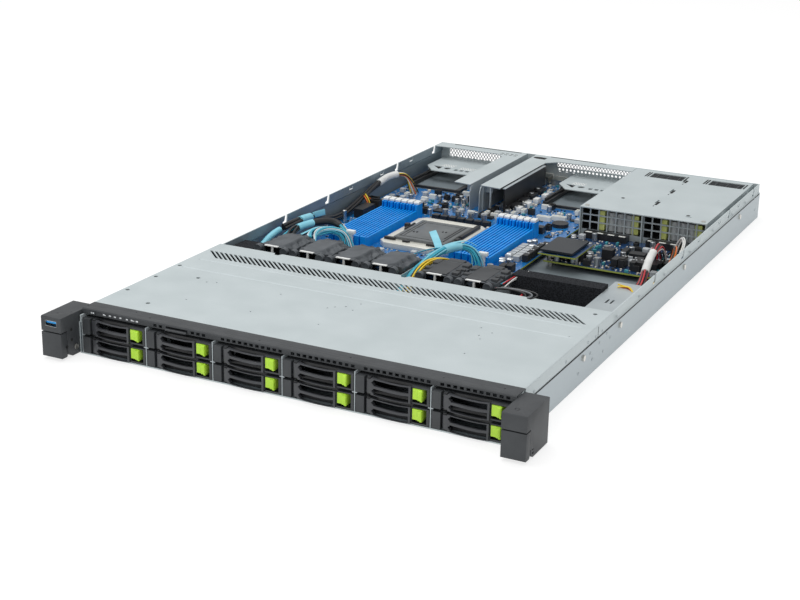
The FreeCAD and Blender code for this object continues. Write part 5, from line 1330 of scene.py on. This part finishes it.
# %% Slits and seams, as low and high corners in mm
# Near-black for painted shade in slits, seams, recesses, wells and holes.
shadow = moulded("slot_shadow_black", "0E0F10", "17181A", 0.8, 1.0, 0.05)
WALL_X = 219.05
SLITS = [((-197, 764.4, 42.45), (-100, 766.2, 42.75)), ((-58, 764.4, 42.45), (18, 766.2, 42.75)),
         ((-53.8, 586, 41.3), (-52.9, 720, 42.3))]
for i in range(4):
    for k in range(2):
        SLITS.append(((-123 + 6.5 * i, 745 + 6 * k, 42.45), (-119 + 6.5 * i, 746.4 + 6 * k, 42.65)))
for side in (-1, 1):
    SLITS.append(((side * WALL_X - 0.14, 20, 30.0), (side * WALL_X + 0.14, 766, 31.3)))
    SLITS.append(((side * WALL_X - 0.12, 178, 31.3), (side * WALL_X + 0.12, 178.6, 42.0)))
SLITS += [((132.9, 610, 41.7), (135.9, 625, 42.35)), ((132.9, 670, 41.7), (135.9, 685, 42.35)),
          ((133.2, 727, 41.7), (135.9, 739, 42.35)), ((133.0, 603, 42.0), (134.2, 606, 42.2)),
          ((133.0, 662, 42.0), (134.2, 665, 42.2)), ((133.4, 719, 42.0), (134.6, 722, 42.2))]
for x0 in PSU_LEFT:
    SLITS += [((x0 + x, 735, 41.8), (x0 + x + 1.7, 757, 42.3)) for x in (19.5, 22.5, 69.5)]
made = [soft_block(low, high, 0.05, 1) for low, high in SLITS]
OVAL = (-69.0, 752.5, 42.5)
oval = disc("oval", OVAL, 6.2, 0.5, "Z", 24)
edit_whole(oval)
bpy.ops.transform.resize(value=(1.35, 0.75, 1), center_override=spot(*OVAL))
bpy.ops.object.mode_set(mode="OBJECT")
made.append(rounded(oval, 0.1, 1))
hand_over(join("slit_shadows", made), "black_plastic", shadow)

# %% [markdown]
# ## Holes cut in copies of the CAD parts
# Some sheets and mouldings have more small holes than the CAD part carries, and softer edges. A CAD part is
# never changed, so each gets a copy that is merged, cut by a boolean, softened by a bevel, and handed over
# to the same body in its place. The cutters are discs and blocks, joined to one tool.

# %% Cutting holes, and copies that stand in for CAD parts
def cut_holes(piece, cutters):
    """Takes the cutters out of a piece, and removes them."""
    tool = join("drill", cutters)
    take(piece)
    cut = piece.modifiers.new("holes", "BOOLEAN")
    cut.operation = "DIFFERENCE"
    cut.solver = "EXACT"
    cut.object = tool
    bpy.ops.object.modifier_apply(modifier=cut.name)
    bpy.data.objects.remove(tool)


def drilled(name, title, cutters, finish, slot="zinc_steel", body="server", soften=0.0):
    """A copy of a CAD part with holes cut in it and soft edges, which stands in for that part."""
    sheet = stand_in(name, title)
    bpy.ops.mesh.tris_convert_to_quads()
    bpy.ops.object.mode_set(mode="OBJECT")
    cut_holes(sheet, cutters)
    if soften:
        rounded(sheet, soften, 2, 30)
    hand_over(sheet, slot, finish, body=body)
    for face in sheet.data.polygons:
        face.material_index = 0
    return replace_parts(sheet, name)


def drill(x, y, z, radius, sides, depth=4, axis="Z"):
    """A round cutter about a point."""
    return disc("drill", (x, y, z), radius, depth, axis, sides)


print("ready to cut holes")

# %% Holes and slots in the front cover
LARGE_HOLES = [(-213, 94), (-213, 47), (-173.2, 24.5), (-174.4, 110.8), (-213, 135.3), (206, 205)]
SMALL_HOLES = [(-77.2, 51.8), (-78.4, 108.3), (-5.3, 52.8), (3.5, 102.1), (2.0, 121.5), (-15.2, 101.8),
               (-6.6, 107.7), (-150.8, 107.9), (-147.9, 50.6), (141.4, 51.4), (138.7, 90.8), (141.9, 110.3),
               (134, 99), (206.2, 135.9), (-20, 96), (128, 118), (-160, 104)]
COVER_TOP = 43.0
VENT_REAR = 193.5
cutters = [drill(x, y, COVER_TOP, 2.2, 16) for x, y in LARGE_HOLES]
cutters += [drill(x, y, COVER_TOP, 0.9, 8) for x, y in SMALL_HOLES]
vent = block("drill", (2.2, VENT_REAR - 20, 41), (3.5, VENT_REAR, 45))
for v in vent.data.vertices:
    v.co.x += (VENT_REAR - 0.005) * MM - v.co.y
cutters += copy_to(vent, [(-215 + 5.8 * k, 0, 0) for k in range(70)])
bpy.data.objects.remove(vent)
drilled("front_cover", "front_cover_drilled", cutters, zinc)

# %% Windows in the rear wall, and the strip with a row of round holes
windows = [block("drill", (-205.8, 760, 25.4), (-113.2, 775, 40.4)),
           block("drill", (-49.8, 760, 25.2), (50.8, 775, 40.4))]
drilled("rear_panel", "rear_panel_pierced", windows, zinc)
strip = block("rear_hole_strip", (-50.2, 767.9, 24.9), (51.2, 768.7, 30.2))
cut_holes(strip, [drill(-46.5 + 5.2 * k, 768, 27.2, 1.5, 12, 6, "Y") for k in range(19)])
hand_over(strip, "zinc_steel", zinc)

# %% [markdown]
# The plates over the network cards are pierced too, and the holes show pale. Thin pale discs set in the
# plates give that at once, a few sides each because there are dozens.

# %% Fine holes in the card plates, as left, front and holes a row
CARD_PLATES = [(-190, 711, 5), (-163, 706, 6), (-7, 711, 5)]
hole_places = [(x0 + 3.5 * i + 1.2 * (k % 2), y0 + 3.2 * k, 0)
               for x0, y0, n in CARD_PLATES for i in range(n) for k in range(4)]
hole = disc("hole", (0, 0, 25.1), 1.15, 0.3, "Z", 8)
put("card_plate_holes", hole, hole_places, "white_plastic", latch_white)

# %% [markdown]
# ## Openings and soft edges on the front
# The levers, ears, doors and bezel are mouldings, whose edges are never sharp. Their copies get a fine
# bevel that catches the light, the levers' two openings get their full height, and the ears get their small
# screw holes, the ring around one of them, and the slots in the right ear's side.

# %% Small holes in the top of the bezel
BEZEL_HOLES = [(-216.5, -9.4), (-167.2, -2.2), (-147.3, -8.8), (-30, -9), (60, -6), (150, -9), (204, -6)]
cutters = [drill(x, y, 43.5, 0.9, 10, 0.8) for x, y in BEZEL_HOLES]
drilled("front_bezel", "front_bezel_drilled", cutters, charcoal, slot="charcoal_plastic", soften=0.2)

# %% Lever openings and soft edges
LEVER_OPENINGS = [(0.7, 6.5), (8.9, 14.5)]
for k in BAYS:
    x0, z0 = bay_place(k)
    slots = [block("drill", (x0 - 17.4, FRONT - 9, z0 + low), (x0 + 16.2, FRONT + 9, z0 + high))
             for low, high in LEVER_OPENINGS]
    drilled(f"carrier_lever_{k:02d}", f"lever_soft_{k:02d}", slots, lever_grey, slot="black_plastic",
            body=f"carrier_lever_{k:02d}", soften=0.22)

# %% Ears and their doors
EAR_TOP = 41.7
for side, name in ((-1, "left_ear_door"), (1, "right_ear_door")):
    gap = block("drill", (side * 230 - 14, -49, 26.3), (side * 230 + 14, -38, 28))
    drilled(name, name + "_soft", [gap], charcoal, slot="charcoal_plastic", body=name, soften=0.3)
left_holes = [drill(-232, -35.6, EAR_TOP, 0.9, 10, 0.8), drill(-222.5, -27, EAR_TOP, 0.8, 10, 0.8)]
drilled("left_ear", "left_ear_soft", left_holes, charcoal, slot="charcoal_plastic", soften=0.3)

groove = disc("drill", (228.1, -36.8, EAR_TOP), 2.4, 1.0, "Z", 20)
pick(groove, "FACE", lambda c, n: n.z < -0.5)
inset(0.7)
extrude(0, 0, 0.8)
bpy.ops.object.mode_set(mode="OBJECT")
side_slots = [block("drill", (240.2, -38.0, 3.0), (242, -36.6, 9.5)),
              block("drill", (240.2, -34.5, 4.0), (242, -30.5, 5.6)),
              block("drill", (240.2, -34.5, 7.4), (242, -31.5, 8.6))]
drilled("right_ear", "right_ear_soft", side_slots + [groove], charcoal, slot="charcoal_plastic", soften=0.3)

# %% [markdown]
# ## Recesses, rivets and screws
# The last touches are round recesses on the supply cage, rivet heads along both side walls, and the screw
# and holes in the ear's inner side. Each is one small disc with a rounded rim, copied along.

# %% Recesses on the supply cage
# Dark discs in the round recesses: painted shade.
put("cage_recesses", capped(2.3, 0.25), [(91, 620, 41.95), (182, 584, 41.95)], "black_plastic", shadow)

# %% Rivets on the side walls, as (place along the wall, height)
RIVETS = [(14, 12), (14, 17), (22, 34), (26, 25), (96, 35), (130, 12), (152, 35), (160, 22), (166, 14),
          (172, 34), (184, 24), (190, 34), (196, 12), (204, 27), (214, 20), (232, 35), (300, 35), (380, 35),
          (470, 35), (560, 36), (640, 35), (700, 35), (742, 30), (750, 14)]
rivet = rounded(disc("rivet", (0, 0, 0), 1.5, 0.9, "X", 12), 0.35)
put("wall_rivets", rivet, [(side * 219.1, y, z) for y, z in RIVETS for side in (-1, 1)], "nickel", zinc_dimmed_painted_shade)

# %% Ear screw and holes
hole = rounded(disc("hole", (0, 0, 0), 1.5, 0.3, "X", 16), 0.08, 1)
# Dark discs for the holes: painted shade.
put("ear_holes", hole, [(-218.9, -33, 27), (-218.9, -33, 17), (-218.9, -40, 12)], "black_plastic", shadow)
screw = disc("ear_screw", (-218.6, -27, 8.5), 2.6, 1.4, "X", 20)
pick(screw, "FACE", lambda c, n: n.x > 0.5)
inset(0.9, -0.5)
rounded(screw, 0.3)
hand_over(screw, "nickel", nickel)

# %% [markdown]
# ## Windows of the supply cage
# Over each supply the cage has a wide window with ribs across it. A thin dark block makes the well, painted
# shade in it, and the ribs lie on it in both directions.

# %% Wells and ribs
wells = [soft_block((x0 + 26.4, 734.4, 40.7), (x0 + 67.6, 757.4, 41.1), 0.1, 1) for x0 in PSU_LEFT]
hand_over(join("window_wells", wells), "black_plastic", shadow)
ribs = []
for x0 in PSU_LEFT:
    ribs += [soft_block((x0 + 27, y, 41.0), (x0 + 67, y + 0.9, 41.6), 0.15, 1) for y in (739.0, 745.5, 752.0)]
    ribs += [soft_block((x0 + x, 735, 41.0), (x0 + x + 1.2, 757, 41.5), 0.15, 1) for x in (33.0, 47.0, 61.0)]
hand_over(join("window_ribs", ribs), "zinc_steel", dark_cast)
